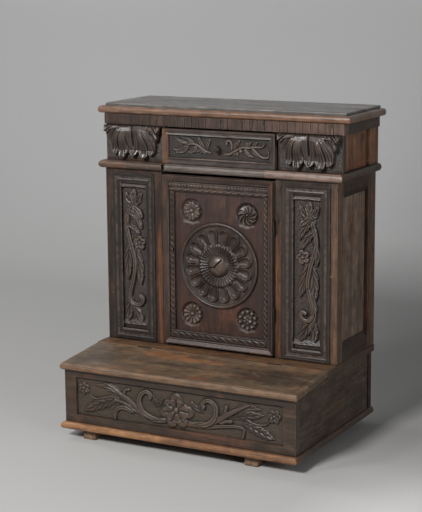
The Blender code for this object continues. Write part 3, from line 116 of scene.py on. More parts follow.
class Tree:
    """One material and short calls that add its nodes."""

    def __init__(self, name: str) -> None:
        """Starts a material with an output and a Principled shader."""
        self.material = bpy.data.materials.new(name)
        self.material.use_nodes = True
        tree = self.material.node_tree
        tree.nodes.clear()
        self.nodes, self.links = tree.nodes, tree.links
        self.output = self.node("OutputMaterial", {})
        self.shader = self.node("BsdfPrincipled", {})
        self.put(self.output.inputs["Surface"], self.shader.outputs[0])
        self.place = self.node("TexCoord", {}).outputs["Object"]

    def put(self, socket: Socket, value: object) -> None:
        """Links a socket to an output, or sets its number, vector or colour."""
        if isinstance(value, Socket):
            self.links.new(value, socket)
        else:
            socket.default_value = rgba(value) if isinstance(value, str) else value

    def fill(self, node: bpy.types.Node, inputs: dict[int | str, object]) -> None:
        """Fills a node's sockets, by number or name; None leaves one as it is."""
        for name, value in inputs.items():
            if value is not None:
                self.put(node.inputs[name], value)

    def node(self, kind: str, inputs: dict[int | str, object], **settings: object) -> bpy.types.Node:
        """Adds a node.

        Args:
            kind: its type, without the common first word.
            inputs: what goes into its sockets.
            settings: its properties.

        Returns:
            The node.
        """
        node = self.nodes.new("ShaderNode" + kind)
        for name, value in settings.items():
            setattr(node, name, value)
        self.fill(node, inputs)
        return node

    def mapped(self, scale: Sequence[float], shift: Sequence[float] = (0, 0, 0),
               source: Socket | None = None) -> Socket:
        """Coordinates with so many pattern units in a metre along each axis, shifted in those units."""
        return self.node("Mapping", {"Vector": source or self.place, "Scale": scale, "Location": shift}).outputs[0]

    def noise(self, vector: Socket, detail: float, rough: float = 0.55, twist: float = 0.0) -> Socket:
        """Noise from 0 to 1, with most of it near a half."""
        return self.node("TexNoise", {"Vector": vector, "Scale": 1.0, "Detail": detail, "Roughness": rough,
                                      "Distortion": twist}).outputs["Fac"]

    def cells(self, shift: Sequence[float], scale: float) -> Socket:
        """Distance to the nearest of many scattered points."""
        return self.node("TexVoronoi", {"Vector": self.mapped((1, 1, 1), shift), "Scale": scale}
                         ).outputs["Distance"]

    def ramp(self, value: Socket, stops: Sequence[tuple[float, str | Light]]) -> Socket:
        """Colours laid along a value."""
        node = self.node("ValToRGB", {0: value})
        band = node.color_ramp
        while len(band.elements) < len(stops):
            band.elements.new(0.5)
        for element, (place, colour) in zip(band.elements, stops):
            element.position = place
            element.color = rgba(colour)
        return node.outputs[0]

    def level(self, value: Socket, low: float, high: float, start: float = 0.0, end: float = 1.0) -> Socket:
        """A value carried from low..high to start..end, and held at the ends."""
        return self.node("MapRange", dict(enumerate((value, low, high, start, end)))).outputs[0]

    def math(self, work: str, first: object, second: object = None) -> Socket:
        """A Math node's result."""
        return self.node("Math", {0: first, 1: second}, operation=work).outputs[0]

    def times(self, first: object, second: object) -> Socket:
        """A product of two shares."""
        return self.math("MULTIPLY", first, second)

    def away(self, value: object, middle: float) -> Socket:
        """How far a value lies from a middle."""
        return self.math("ABSOLUTE", self.math("SUBTRACT", value, middle))

    def mix(self, share: object, first: object, second: object) -> Socket:
        """Two colours mixed."""
        return self.node("Mix", {0: share, 6: first, 7: second}, data_type="RGBA").outputs[2]

    def lay(self, colour: Socket, top: str, value: Socket, low: float, high: float, start: float,
            end: float) -> Socket:
        """A colour with another laid over it, whose share goes from start to end as a value goes from low to high."""
        return self.mix(self.level(value, low, high, start, end), colour, top)

    def axes(self) -> list[Socket]:
        """The three object coordinates, in metres."""
        return list(self.node("SeparateXYZ", {0: self.place}).outputs)

    def joined(self, parts: Sequence[Socket]) -> Socket:
        """A vector of three numbers."""
        return self.node("CombineXYZ", dict(enumerate(parts))).outputs[0]

    def attribute(self, name: str) -> Socket:
        """A number kept on the piece's points."""
        return self.node("Attribute", {}, attribute_name=name).outputs["Fac"]

    def open_share(self, reach: float, inside: bool = False) -> Socket:
        """How open the surface is within a reach, 0 deep in a crease; inside the wood, 0 at a sharp edge."""
        return self.node("AmbientOcclusion", {"Distance": reach}, samples=5, inside=inside).outputs["AO"]

    def bump(self, height: Socket, strength: float, distance: float, under: Socket | None = None) -> Socket:
        """A normal that stands up with a height, over another where one is given."""
        return self.node("Bump", {"Strength": strength, "Distance": distance, "Height": height, "Normal": under}
                         ).outputs[0]


@dataclass(frozen=True)
class Band:
    """A stretch of a board, along one axis, that is worn or stained differently."""
    axis: int               # 0, 1 or 2
    start: float            # where it sets in, in metres
    end: float              # where it is full
    colour: str
    strength: float = 0.8
    breaks: float = 0.5     # how much it is broken up by the noise
    also: tuple[int, float, float] | None = None    # a second axis along which it sets in

    def lay(self, tree: Tree, colour: Socket, lines: Socket) -> Socket:
        """The colour with this band over it, broken up by the figure's fine lines."""
        mask = tree.level(tree.axes()[self.axis], self.start, self.end)
        if self.also:
            mask = tree.times(mask, tree.level(tree.axes()[self.also[0]], *self.also[1:]))
        some = tree.times(mask, tree.level(lines, 0.3, 0.62, 1 - self.breaks, 1.0))
        return tree.mix(tree.times(some, self.strength), colour, self.colour)


@dataclass(frozen=True)
class Spot:
    """A stain, rubbed place and painted highlight alike: an ellipsoid whose edge is broken up by noise."""
    centre: tuple[float, float, float]
    reach: tuple[float, float, float]
    colour: str
    strength: float = 0.6
    ragged: float = 0.45

    def lay(self, tree: Tree, colour: Socket, edge: Socket) -> Socket:
        """The colour with this spot over it; its distance from the centre is 1 at its edge."""
        scale = tuple(1 / reach for reach in self.reach)
        place = tree.mapped(scale, tuple(-c * k for c, k in zip(self.centre, scale)))
        far = tree.node("VectorMath", {0: place}, operation="LENGTH").outputs["Value"]
        torn = tree.math("ADD", far, tree.level(edge, 0.3, 0.7, self.ragged, -self.ragged))
        return tree.lay(colour, self.colour, torn, 1.0, 0.55, 0.0, self.strength)


@dataclass(frozen=True)
class Pattern:
    """Noise in the wood."""
    along: float            # cells in a metre along the fibres
    across: float           # and across them
    detail: float
    rough: float = 0.55
    twist: float = 0.0
    fibres: bool = True     # whether it follows the fibres


STREAKS = Pattern(2.2, 1, 5, 0.62, 0.7)     # across these two, the cells are multiples of the figure's
LINES = Pattern(5, 5, 3, 0.6, 0.3)
PORES = Pattern(22, 520, 2, 0.5)
FADED = Pattern(5, 11, 5, 0.66, 0.5)
CLOUD = Pattern(9, 14, 6, 0.7, 0.8)
TORN = Pattern(18, 34, 4, 0.65, 0.4)
SPLITS = Pattern(2.6, 46, 2, 0.5, 0.2)
DIRT = Pattern(31, 31, 4, 0.6, fibres=False)
DENTS = Pattern(85, 85, 3, 0.6, fibres=False)
WORM = Pattern(13, 13, 2, fibres=False)
DOTS, WORM_HOLES = 380, 95      # punched dots and worm holes in a metre
# EDGE_REACH: reach of the test for worn edges; CREASE_REACH: reach of the painted shade in creases
EDGE_REACH, CREASE_REACH = 0.0035, 0.012
PATCH = "68422e"


@dataclass(frozen=True)
class Walnut:
    """Old oiled walnut: streaked figure, pores, faded patches, cracks, painted shade in creases, worn edges and
    bands; on carving also painted highlight on crests and ridges and painted shade in hollows.
    """
    name: str
    grain: Grain
    tones: str              # its dark, middling and light streaks, and where they differ its faded patches
    patch_share: float = 0.38
    gloss: float = 0.42
    sheen: float = 0.5
    relief: float = 0.35
    figure: float = 30.0
    shift: tuple[float, float, float] = (0.0, 0.0, 0.0)
    bands: tuple[Band, ...] = ()
    spots: tuple[Spot, ...] = ()
    carved: bool = False
    stipple: float = 0.0
    worm: float = 0.0
    ground: str = "544c40"  # the punched ground between the carving
    ground_share: float = 0.0
    worn: str = "7c6a5c"    # bare wood along the edges; on carving, the colour of its lightened ridges
    wear: float = 0.45
    edge: float = 0.2       # how far the carving's ridges are lightened: rubbed wear and painted highlight
    shade: float = 0.85     # how dark the painted shade in its hollows is
    # how dark the painted shade in creases is
    crease_shade: float = 0.8
    cracks: float = 0.5
    mottle: float = 0.0
    frame_box: tuple[float, float, float, float] | None = None  # mitred frame: x, z of centre; half x, half z

    def fibres(self, tree: Tree) -> Socket:
        """Object coordinates turned so that the fibres run along their first axis.

        In a mitred frame the upright lengths swap the first and the third coordinate: a point is on an
        upright where it lies further outside the opening sideways than up or down.
        """
        x, y, z = tree.axes()
        plain = tree.joined({ACROSS: (x, y, z), DEEP: (y, x, z), UP: (z, y, x)}[self.grain])
        if self.frame_box is None:
            return plain
        cx, cz, half_x, half_z = self.frame_box
        over_x = tree.math("SUBTRACT", tree.away(x, cx), half_x)
        over_z = tree.math("SUBTRACT", tree.away(z, cz), half_z)
        upright = tree.math("GREATER_THAN", over_x, over_z)
        return tree.node("Mix", {0: upright, 4: plain, 5: tree.joined((z, y, x))}, data_type="VECTOR").outputs[1]

    def build(self) -> bpy.types.Material:
        """Makes the material's nodes and returns it."""
        tree = Tree(self.name)
        fibres = self.fibres(tree)

        def noise(pattern: Pattern, finer: float = 1.0) -> Socket:
            """One of the wood's patterns, with finer cells across the fibres."""
            scale = (pattern.along, pattern.across * finer, pattern.across * finer)
            place = tree.mapped(scale, self.shift, fibres if pattern.fibres else None)
            return tree.noise(place, pattern.detail, pattern.rough, pattern.twist)
        dark, mid, light, patch = (*self.tones.split(), PATCH)[:4]
        streaks, lines = noise(STREAKS, self.figure), noise(LINES, self.figure)
        pores, faded, dirt, dents = (noise(pattern) for pattern in (PORES, FADED, DIRT, DENTS))
        colour = tree.ramp(streaks, ((0.30, dark), (0.50, mid), (0.70, light)))
        colour = tree.lay(colour, dark, lines, 0.35, 0.62, 0.45, 0.0)
        high = 0.74 - 0.30 * self.patch_share
        colour = tree.lay(colour, patch, faded, high - 0.09, high + 0.07, 0.0, 0.72)
        if self.mottle:
            cloud = noise(CLOUD)
            colour = tree.lay(colour, dark, cloud, 0.48, 0.37, 0.0, self.mottle)
            colour = tree.lay(colour, patch, cloud, 0.53, 0.64, 0.0, self.mottle)
        for band in self.bands:
            colour = band.lay(tree, colour, lines)
        if self.spots:
            torn = noise(TORN)
        for spot in self.spots:
            colour = spot.lay(tree, colour, torn)
        colour = tree.lay(colour, "181311", dirt, 0.36, 0.64, 0.34, 0.0)
        colour = tree.lay(colour, "16100d", pores, 0.36, 0.52, 0.50, 0.0)
        rough = tree.level(faded, 0.35, 0.7, self.gloss - 0.05, self.gloss + 0.12)
        normal = tree.bump(pores, self.relief, 0.0006)
        for height in (streaks, dents):
            normal = tree.bump(height, self.relief * 0.8, 0.0016, normal)
        if self.carved:
            crest = tree.attribute("crest")
            rough = tree.math("ADD", rough, tree.level(crest, 0.02, 0.30, 0.14, 0.0))
            if self.ground_share:
                colour = tree.lay(colour, self.ground, crest, 0.02, 0.16, self.ground_share, 0.0)
            # painted highlight: the carving's highest crests lightened
            colour = tree.lay(colour, "746458", crest, 0.55, 1.0, 0.0, 0.30)
            # painted shade in the carving's hollows, where it lies under its neighbours
            colour = tree.lay(colour, "110d0a", tree.attribute("hollow"), 0.10, 1.0, 0.0, self.shade)
            # ridges over their neighbours lightened: partly rubbed wear, partly painted highlight
            colour = tree.lay(colour, self.worn, tree.attribute("ridge"), 0.08, 0.75, 0.0, self.edge)
        else:
            bare = tree.level(tree.open_share(EDGE_REACH, inside=True), 0.50, 0.82, self.wear, 0.0)
            bare = tree.times(bare, tree.level(dents, 0.40, 0.60, 0.15, 1.0))
            colour = tree.mix(bare, colour, self.worn)
        if self.stipple:
            dots = tree.cells(self.shift, DOTS)
            ground = tree.level(tree.attribute("crest"), 0.02, 0.12, self.stipple, 0.0)
            normal = tree.bump(tree.times(dots, ground), 1.0, 0.0016, normal)
            colour = tree.mix(tree.times(tree.level(dots, 0.10, 0.35, 0.7, 0.0), ground), colour, "181310")
        if self.cracks:
            split = tree.level(tree.away(noise(SPLITS), 0.5), 0.004, 0.012, 1.0, 0.0)
            split = tree.times(split, tree.level(faded, 0.50, 0.56, 0.0, self.cracks))
            colour = tree.mix(split, colour, "0e0a09")
            normal = tree.bump(tree.level(split, 0.0, 1.0, 1.0, 0.0), 0.5, 0.0012, normal)
        if self.worm:
            holes = tree.level(tree.cells(self.shift, WORM_HOLES), 0.10, 0.16, 1.0, 0.0)
            holes = tree.times(holes, tree.level(noise(WORM), 0.5, 0.56))
            colour = tree.mix(tree.times(holes, self.worm), colour, "0a0807")
        # painted shade: darker where ambient occlusion finds the surface closed in, in creases and under mouldings
        colour = tree.lay(colour, "120d0b", tree.open_share(CREASE_REACH), 0.28, 0.86, self.crease_shade, 0.0)
        rough = tree.math("ADD", rough, tree.level(dents, 0.3, 0.7, -0.05, 0.07))
        tree.fill(tree.shader, {"Base Color": colour, "Roughness": rough, "Normal": normal,
                                "Specular IOR Level": self.sheen})
        return tree.material


@dataclass(frozen=True)
class Iron:
    """Forged iron, browned with age."""
    name: str = "old_iron"

    def build(self) -> bpy.types.Material:
        """Makes the material's nodes and returns it."""
        tree = Tree(self.name)
        scale = tree.noise(tree.mapped((60, 60, 60)), 5, 0.65)
        pits = tree.noise(tree.mapped((420, 420, 420)), 2)
        colour = tree.ramp(scale, ((0.35, "1e1b1a"), (0.55, "342e2a"), (0.7, "563826")))
        tree.fill(tree.shader, {"Base Color": colour, "Roughness": tree.level(scale, 0.3, 0.7, 0.42, 0.75),
                                "Normal": tree.bump(pits, 0.4, 0.0005), "Metallic": 0.85})
        return tree.material


class Wardrobe:
    """Keeps each finish once and puts finishes on the frame's nodes."""

    def __init__(self) -> None:
        """Starts with nothing made."""
        self.made: dict[str, bpy.types.Material] = {}

    def get(self, finish: Walnut | Iron) -> bpy.types.Material:
        """The finish's material, made the first time it is asked for."""
        if finish.name not in self.made:
            self.made[finish.name] = finish.build()
        return self.made[finish.name]

    def dress(self, nodes: str, finish: Walnut | Iron) -> None:
        """Puts a finish on the frame's nodes that are named, with spaces between the names."""
        for name in nodes.split():
            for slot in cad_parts[name].material_slots:
                slot.material = self.get(finish)
            LOG.info("dressed %s in %s", name, finish.name)


# Meshes

@dataclass
class Piece:
    """A finished mesh object and how it joins the frame."""
    name: str
    vertices: np.ndarray
    faces: list[list[int]]
    smooth: int                     # how many of the first faces are smooth
    marks: dict[str, np.ndarray]    # numbers kept on its points, for the material
    material: bpy.types.Material
    body: str
    replaces: tuple[str, ...] = ()

    def make(self) -> bpy.types.Object:
        """Writes the mesh, gives it its material, rides it on its body and returns the object."""
        mesh = bpy.data.meshes.new(self.name)
        mesh.from_pydata(self.vertices.tolist(), [], self.faces)
        mesh.polygons.foreach_set("use_smooth", np.arange(len(self.faces)) < self.smooth)
        for name, values in self.marks.items():
            mesh.attributes.new(name, "FLOAT", "POINT").data.foreach_set("value", values.astype(np.float32))
        mesh.materials.append(self.material)
        mesh.update()
        piece = bpy.data.objects.new(self.name, mesh)
        bpy.context.scene.collection.objects.link(piece)
        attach(piece, self.body)
        if self.replaces:
            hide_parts(*self.replaces)
        LOG.info("built %s: %d faces on %s", self.name, len(self.faces), self.body)
        return piece


def grid_quads(rows: int, columns: int) -> np.ndarray:
    """Faces of a grid of points numbered row by row: each joins a point, its right, upper right and upper one."""
    first = (np.arange(rows - 1)[:, None] * columns + np.arange(columns - 1)).ravel()
    return np.stack((first, first + 1, first + columns + 1, first + columns), axis=1)


def slab(front: np.ndarray, back: np.ndarray) -> tuple[np.ndarray, list[list[int]], int]:
    """A closed sheet: a grid of front points, walls round its border and one face behind.

    Args:
        front: rows x columns x 3 points, rows going up and columns to the right as seen from outside.
        back: the same grid's places behind; only its border is used.

    Returns:
        The points, the faces, and how many of the first faces are the front.
    """
    rows, columns = front.shape[:2]
    ring = np.concatenate((np.arange(columns), np.arange(1, rows) * columns + columns - 1,
                           (rows - 1) * columns + np.arange(columns - 2, -1, -1),
                           np.arange(rows - 2, 0, -1) * columns))
    behind = rows * columns + np.arange(len(ring))
    after = np.roll(np.arange(len(ring)), -1)
    walls = np.stack((ring, behind, behind[after], ring[after]), axis=1)
    points = np.concatenate((front.reshape(-1, 3), back.reshape(-1, 3)[ring]))
    quads = grid_quads(rows, columns)
    return points, [*quads.tolist(), *walls.tolist(), behind[::-1].tolist()], len(quads)


def smooth_path(points: Sequence[Point], count: int = 44) -> np.ndarray:
    """A Catmull-Rom curve through the points, evenly parted in its parameter."""
    given = np.asarray(points, dtype=float)
    if len(given) == 2:
        return given[0] + (given[1] - given[0]) * np.linspace(0, 1, 6)[:, None]
    ends = np.concatenate((2 * given[:1] - given[1:2], given, 2 * given[-1:] - given[-2:-1]))
    place = np.linspace(0, len(given) - 1 - 1e-9, count)
    step = place.astype(int)
    t = (place - step)[:, None]
    a, b, c, d = (ends[step + k] for k in range(4))
    return 0.5 * (2 * b + (c - a) * t + (2 * a - 5 * b + 4 * c - d) * t ** 2 + (3 * b - a - 3 * c + d) * t ** 3)


def along(path: np.ndarray, points: np.ndarray) -> tuple[np.ndarray, np.ndarray]:
    """Where each point lies by a path: its share of the length and its signed distance to the left."""
    start, run = path[:-1], np.diff(path, axis=0)
    square = np.maximum((run ** 2).sum(1), 1e-12)
    gap = points[:, None, :] - start[None]
    t = np.clip((gap * run).sum(2) / square, 0, 1)
    gap -= t[..., None] * run
    far = (gap ** 2).sum(2)
    near = far.argmin(1)
    rows = np.arange(len(points))
    lengths = np.sqrt(square)
    before = np.concatenate(([0.0], np.cumsum(lengths)[:-1]))
    share = (before[near] + t[rows, near] * lengths[near]) / lengths.sum()
    side = np.sign(run[near, 0] * gap[rows, near, 1] - run[near, 1] * gap[rows, near, 0])
    return share, side * np.sqrt(far[rows, near])


class Cut(Enum):
    """The carver's strokes."""
    STEM = "stem"
    LEAF = "leaf"
    BUD = "bud"


@dataclass(frozen=True)
class Stroke:
    """One carved stem, leaf or bud on a field, in millimetres."""
    cut: Cut
    path: tuple[Point, ...]
    width: float            # greatest half width
    rise: float             # height of its crest
    lobes: int = 0
    ridges: int = 1
    ends: tuple[float, float] | None = None

    def half_width(self, share: np.ndarray, side: np.ndarray) -> np.ndarray:
        """Half width along the stroke.

        A stem narrows a little to its ends. A leaf swells from its root to its middle and draws in to
        its tip, and a petal, whose end is broad, keeps swelling towards a round tip. Each lobe widens
        towards the tip and then falls back to its root, and the two sides' lobes stand half a lobe apart.
        """
        if self.cut is Cut.STEM:
            first, last = self.ends or (0.85, 0.42)
            return self.width * np.interp(share, (0, 0.15, 0.7, 1), (first, 1, 0.85, last))
        if self.cut is Cut.BUD:
            return np.full_like(share, self.width)
        first, last = self.ends or (0.42, 0.12)
        if last > 0.5:
            wide = self.width * np.interp(share, (0, 0.3, 0.7, 1), (first, 0.66, 1, last))
        else:
            wide = self.width * np.interp(share, (0, 0.22, 0.5, 0.8, 1), (first, 0.84, 1, 0.70, last))
        if self.lobes:
            part = (share * self.lobes + 0.5 * (side < 0)) % 1.0
            wide = wide * (0.76 + 0.24 * np.minimum(part / 0.74, (1 - part) / 0.26) ** 0.5)
        return wide

    def height(self, share: np.ndarray, off: np.ndarray, x: np.ndarray) -> np.ndarray:
        """Height over the ground inside the stroke.

        A stem's height is its rise times (1 - x^4)^1/2, rippled by its ridges. A leaf is a little
        hollow: its rise times (1 - x^3.4)^1/2, highest near its edges, less a groove on its middle, cut
        into ribs that sweep out to its lobes or run along it, and it lifts towards its curled tip. A
        bud is a dome.

        Args:
            share: place along the stroke, 0 to 1.
            off: signed distance from its middle line.
            x: that distance over the half width, 0 to 1.

        Returns:
            The heights.
        """
        if self.cut is Cut.BUD:
            return self.rise * dome(x)
        if self.cut is Cut.STEM:
            body = held(1 - x ** 4) ** 0.5
            if self.ridges > 1:
                turn = math.pi * self.ridges * (x * np.sign(off) + 1) / 2 + math.pi / 2
                body = body * (0.66 + 0.34 * np.abs(np.cos(turn)) ** 0.8)
            return self.rise * body * np.interp(share, (0, 0.1, 0.85, 1), (0.75, 1, 1, 1.08))
        body = held(1 - x ** 3.4) ** 0.5 * (0.80 + 0.20 * held(x / 0.7))
        body = body * (1 - 0.40 * np.exp(-(x / 0.13) ** 2))
        if self.lobes:
            slant = share * self.lobes + 0.5 * (off < 0) - 1.38 * x - 0.12
            body = body * (1 - held(x * 3) * 0.58 * (1 - np.abs(np.cos(math.pi * slant)) ** 0.6))
        elif self.ridges > 1:
            body = body * (0.60 + 0.40 * np.abs(np.cos(math.pi * self.ridges * x)) ** 0.7)
        return self.rise * body * np.interp(share, (0, 0.25, 0.75, 0.92, 1), (0.62, 0.88, 0.92, 1.12, 0.9))


stem, leaf, bud = (partial(Stroke, cut) for cut in Cut)


def flower(centre: Point, rise: float, petals: Sequence[tuple[float, float, float]], heart: float
           ) -> tuple[Stroke, ...]:
    """Strokes of an open flower.

    Args:
        centre: its middle.
        rise: height of the petals.
        petals: (degrees anticlockwise from the right, reach to the tip, half width) of each petal.
        heart: radius of the boss in the middle.

    Returns:
        The petals' strokes, then the boss.
    """
    def at(turn: float, far: float) -> Point:
        """The place so far from the flower's middle on a turn."""
        return centre[0] + far * math.cos(math.radians(turn)), centre[1] + far * math.sin(math.radians(turn))

    def petal(turn: float, reach: float, wide: float) -> Stroke:
        """A petal from the boss to its tip."""
        end = reach - 0.8 * wide
        return leaf((at(turn, heart * 0.5), at(turn, end * 0.55), at(turn, end)), wide, rise, ends=(0.35, 0.8))
    return (*(petal(*shape) for shape in petals), bud((at(0, 0.01), at(180, 0.01)), heart, rise * 1.12))


def frond(root: Point, tips: Sequence[Point], width: float, rise: float, bend: float = 0.16,
          ends: tuple[float, float] = (0.55, 0.16)) -> tuple[Stroke, ...]:
    """A leaf of several long lobes that part from one root.

    Each lobe runs from the root to its tip on a curve whose middle is moved aside by the bend times
    the lobe's length, to its left as seen from the root.

    Args:
        root: where the lobes start.
        tips: where they end, undermost first.
        width: a lobe's half width.
        rise: its height.
        bend: share of the length that the middle is moved.
        ends: half widths at the root and tip as shares of the greatest.

    Returns:
        One stroke for each lobe.
    """
    def lobe(tip: Point) -> tuple[Point, Point, Point]:
        """A lobe's path."""
        run = (tip[0] - root[0], tip[1] - root[1])
        middle = (root[0] + 0.55 * run[0] - bend * run[1], root[1] + 0.55 * run[1] + bend * run[0])
        return root, middle, tip
    return tuple(leaf(lobe(tip), width, rise, ends=ends) for tip in tips)


def carve(strokes: Sequence[Stroke], across: np.ndarray, up: np.ndarray, halo: float = 0.9) -> np.ndarray:
    """Heights of a carved field, in millimetres.

    Each stroke stands over those before it: the ground and older strokes within the halo round it are
    cut down to two fifths, and inside it the higher of the old and the new height is kept.

    Args:
        strokes: the carving, undermost first.
        across: the grid's places to the right.
        up: the grid's places upwards.
        halo: width of the line cut round a stroke.

    Returns:
        A grid of heights, rows upwards.
    """
    places = np.stack(np.meshgrid(across, up), axis=-1).reshape(-1, 2)
    height = np.zeros(len(places))
    for stroke in strokes:
        path = smooth_path(stroke.path)
        reach = stroke.width + halo + 0.5
        near = np.flatnonzero(((places > path.min(0) - reach) & (places < path.max(0) + reach)).all(1))
        if not len(near):
            continue
        share, off = along(path, places[near])
        wide = np.maximum(stroke.half_width(share, off), 0.05)
        x = np.abs(off) / wide
        inside = x < 1
        height[near[~inside & (np.abs(off) < wide + halo)]] *= 0.4
        new = stroke.height(share[inside], off[inside], x[inside])
        height[near[inside]] = np.maximum(height[near[inside]] * 0.92, new)
    return height.reshape(len(up), len(across))


def soften(height: np.ndarray, turns: int = 1) -> np.ndarray:
    """Each height averaged with its neighbours, a quarter, a half and a quarter along rows and columns."""
    for _ in range(turns):
        wide = np.pad(height, 1, mode="edge")
        wide = 0.25 * wide[:, :-2] + 0.5 * wide[:, 1:-1] + 0.25 * wide[:, 2:]
        height = 0.25 * wide[:-2] + 0.5 * wide[1:-1] + 0.25 * wide[2:]
    return height


SPREAD = 7      # how many times a neighbourhood is averaged
STAND = 0.9     # millimetres over or under it that count in full


def marks(height: np.ndarray, tall: float, count: int, round_trip: bool = False) -> dict[str, np.ndarray]:
    """What the carved materials read on a carved grid's points.

    The crest is the height as a share of the full height. The ridge is how far the height stands over
    the mean of those round it, and the hollow how far it lies under it, both as shares of STAND.

    Args:
        height: the grid's heights in millimetres.
        tall: height that counts as full crest.
        count: number of the piece's points; those after the grid's get 0.
        round_trip: whether the grid's last column meets its first.

    Returns:
        A number for each point, by name.
    """
    margin = SPREAD + 1
    wide = np.pad(height, ((0, 0), (margin, margin)), mode="wrap" if round_trip else "edge")
    stand = (height - soften(wide, SPREAD)[:, margin:-margin]) / STAND
    return {name: np.pad(held(values).ravel(), (0, count - height.size))
            for name, values in (("crest", height / tall), ("hollow", -stand), ("ridge", stand))}


@dataclass
class Relief:
    """A carved sheet that lies on a board's sunk field, facing the front."""
    name: str
    left: float             # millimetres in the frame
    right: float
    low: float
    high: float
    depth: float            # metres forward from the back: the board's floor under the sheet
    body: str
    finish: Walnut
    step: float             # distance between grid points
    tall: float             # height that counts as full crest
    ground: float = 0.35    # millimetres that the ground stands over the floor
    sunk: float = 0.4       # millimetres that the sheet's back lies in the floor
    replaces: tuple[str, ...] = ()

    def grid(self) -> tuple[np.ndarray, np.ndarray]:
        """The grid's places across and up, in millimetres."""
        return tuple(np.linspace(low, high, int((high - low) / self.step) + 1)
                     for low, high in ((self.left, self.right), (self.low, self.high)))

    def make(self, height: np.ndarray, wardrobe: Wardrobe) -> bpy.types.Object:
        """Builds the sheet from its heights over the ground and returns the object.

        Args:
            height: millimetres for each point of the grid.
            wardrobe: where finishes are kept.
        """
        across, up = self.grid()
        x, z = np.meshgrid(across * MM, up * MM)
        front = np.stack((x, y_at(self.depth + (self.ground + height) * MM), z), axis=-1)
        back = np.stack((x, np.full_like(x, y_at(self.depth - self.sunk * MM)), z), axis=-1)
        points, faces, smooth = slab(front, back)
        return Piece(self.name, points, faces, smooth, marks(height, self.tall, len(points)),
                     wardrobe.get(self.finish), self.body, self.replaces).make()


@dataclass
class Disc:
    """A closed round relief that faces the front: at radius r and angle a it stands height(r, a) high."""
    name: str
    centre: tuple[float, float, float]      # x, depth and z of its middle, in metres
    height: Callable[[np.ndarray, np.ndarray], np.ndarray]      # millimetres for millimetres and radians
    body: str
    finish: Walnut
    radius: float
    rings: int
    spokes: int
    sunk: float             # millimetres that its back lies behind the centre's depth
    tall: float             # height that counts as full crest
    replaces: tuple[str, ...] = ()

    def at(self, radii: np.ndarray, turns: np.ndarray, tall: np.ndarray) -> np.ndarray:
        """Frame points for polar places and heights."""
        x, depth, z = self.centre
        return np.stack((x + radii * np.cos(turns) * MM, y_at(depth + tall * MM), z + radii * np.sin(turns) * MM),
                        axis=-1).reshape(-1, 3)

    def make(self, wardrobe: Wardrobe) -> bpy.types.Object:
        """Builds the disc from its middle outwards, with a wall and one face behind, and returns the object."""
        r, a = np.meshgrid(np.linspace(0, self.radius, self.rings + 1)[1:],
                           np.arange(self.spokes) * TURN / self.spokes, indexing="ij")
        tops = self.height(r, a)
        middle = self.height(np.zeros(1), np.zeros(1))
        points = np.concatenate((self.at(r, a, tops), self.at(r[-1], a[-1], np.full(self.spokes, -self.sunk)),
                                 self.at(np.zeros(1), np.zeros(1), middle)))
        k = np.arange(self.spokes)
        n = (k + 1) % self.spokes
        tip = len(points) - 1
        fan = np.stack((np.full(self.spokes, tip), k, n), axis=1).tolist()
        ring = np.arange(self.rings)[:, None] * self.spokes     # the last ring of faces is the wall
        quads = np.stack((ring + k, ring + self.spokes + k, ring + self.spokes + n, ring + n), axis=-1)
        behind = (self.rings * self.spokes + k)[::-1].tolist()
        marked = marks(tops, self.tall, len(points), True)
        marked["crest"][tip] = held(middle[0] / self.tall)
        return Piece(self.name, points, [*fan, *quads.reshape(-1, 4).tolist(), behind], self.rings * self.spokes,
                     marked, wardrobe.get(self.finish), self.body, self.replaces).make()


# Finishes of the carving

CARVED = Walnut("carved_walnut", ACROSS, "241c17 382c24 503f35 543d2f", gloss=0.32, sheen=0.6, relief=0.6,
    carved=True, stipple=0.9, crease_shade=0.9, ground="342e29", ground_share=0.5, cracks=0.3, mottle=0.3)
CARVED_CHEST = Walnut("carved_chest_walnut", ACROSS, "261d17 382b22 4c3b2f 563e2d", gloss=0.38, sheen=0.42,
    relief=0.5, carved=True, stipple=0.8, crease_shade=0.9, ground="483e30", ground_share=0.5, cracks=0.3, mottle=0.4)
CARVED_UP = Walnut("carved_walnut_upright", UP, "1e1713 302620 463830 4c372c", gloss=0.34, sheen=0.5, relief=0.5,
    carved=True, stipple=0.9, crease_shade=0.95, ground="3a312b", ground_share=0.4, cracks=0.3, mottle=0.4)
CARVED_DOOR = Walnut("carved_door_walnut", UP, "241b16 382a23 524138 584034", gloss=0.33, sheen=0.5, relief=0.5,
    carved=True, edge=0.1, shade=0.55, crease_shade=0.95, cracks=0.2, mottle=0.3)
# the drawer's ridges get a stronger, greyer painted highlight and its hollows full painted shade
CARVED_DRAWER = replace(CARVED, name="carved_drawer_walnut", tones="1c1612 2d241e 44372f 543d2f", ground="282420",
    gloss=0.38, sheen=0.45, edge=0.4, shade=1.0, worn="7c7066")
# the rosettes' ridges get a stronger painted highlight and their hollows full painted shade
CARVED_ROSETTE = replace(CARVED_DOOR, name="carved_rosette_walnut", edge=0.35, shade=1.0)
CARVED_BORDER = Walnut("carved_border_walnut", UP, "231a14 372a22 4e3d32 604635", gloss=0.42, sheen=0.4, relief=0.5,
    carved=True, crease_shade=0.95, cracks=0.4, worm=0.8, mottle=0.4)
PEG_WOOD = Walnut("peg_wood", DEEP, "544236 7a6658 968070")


# Kneeling chest

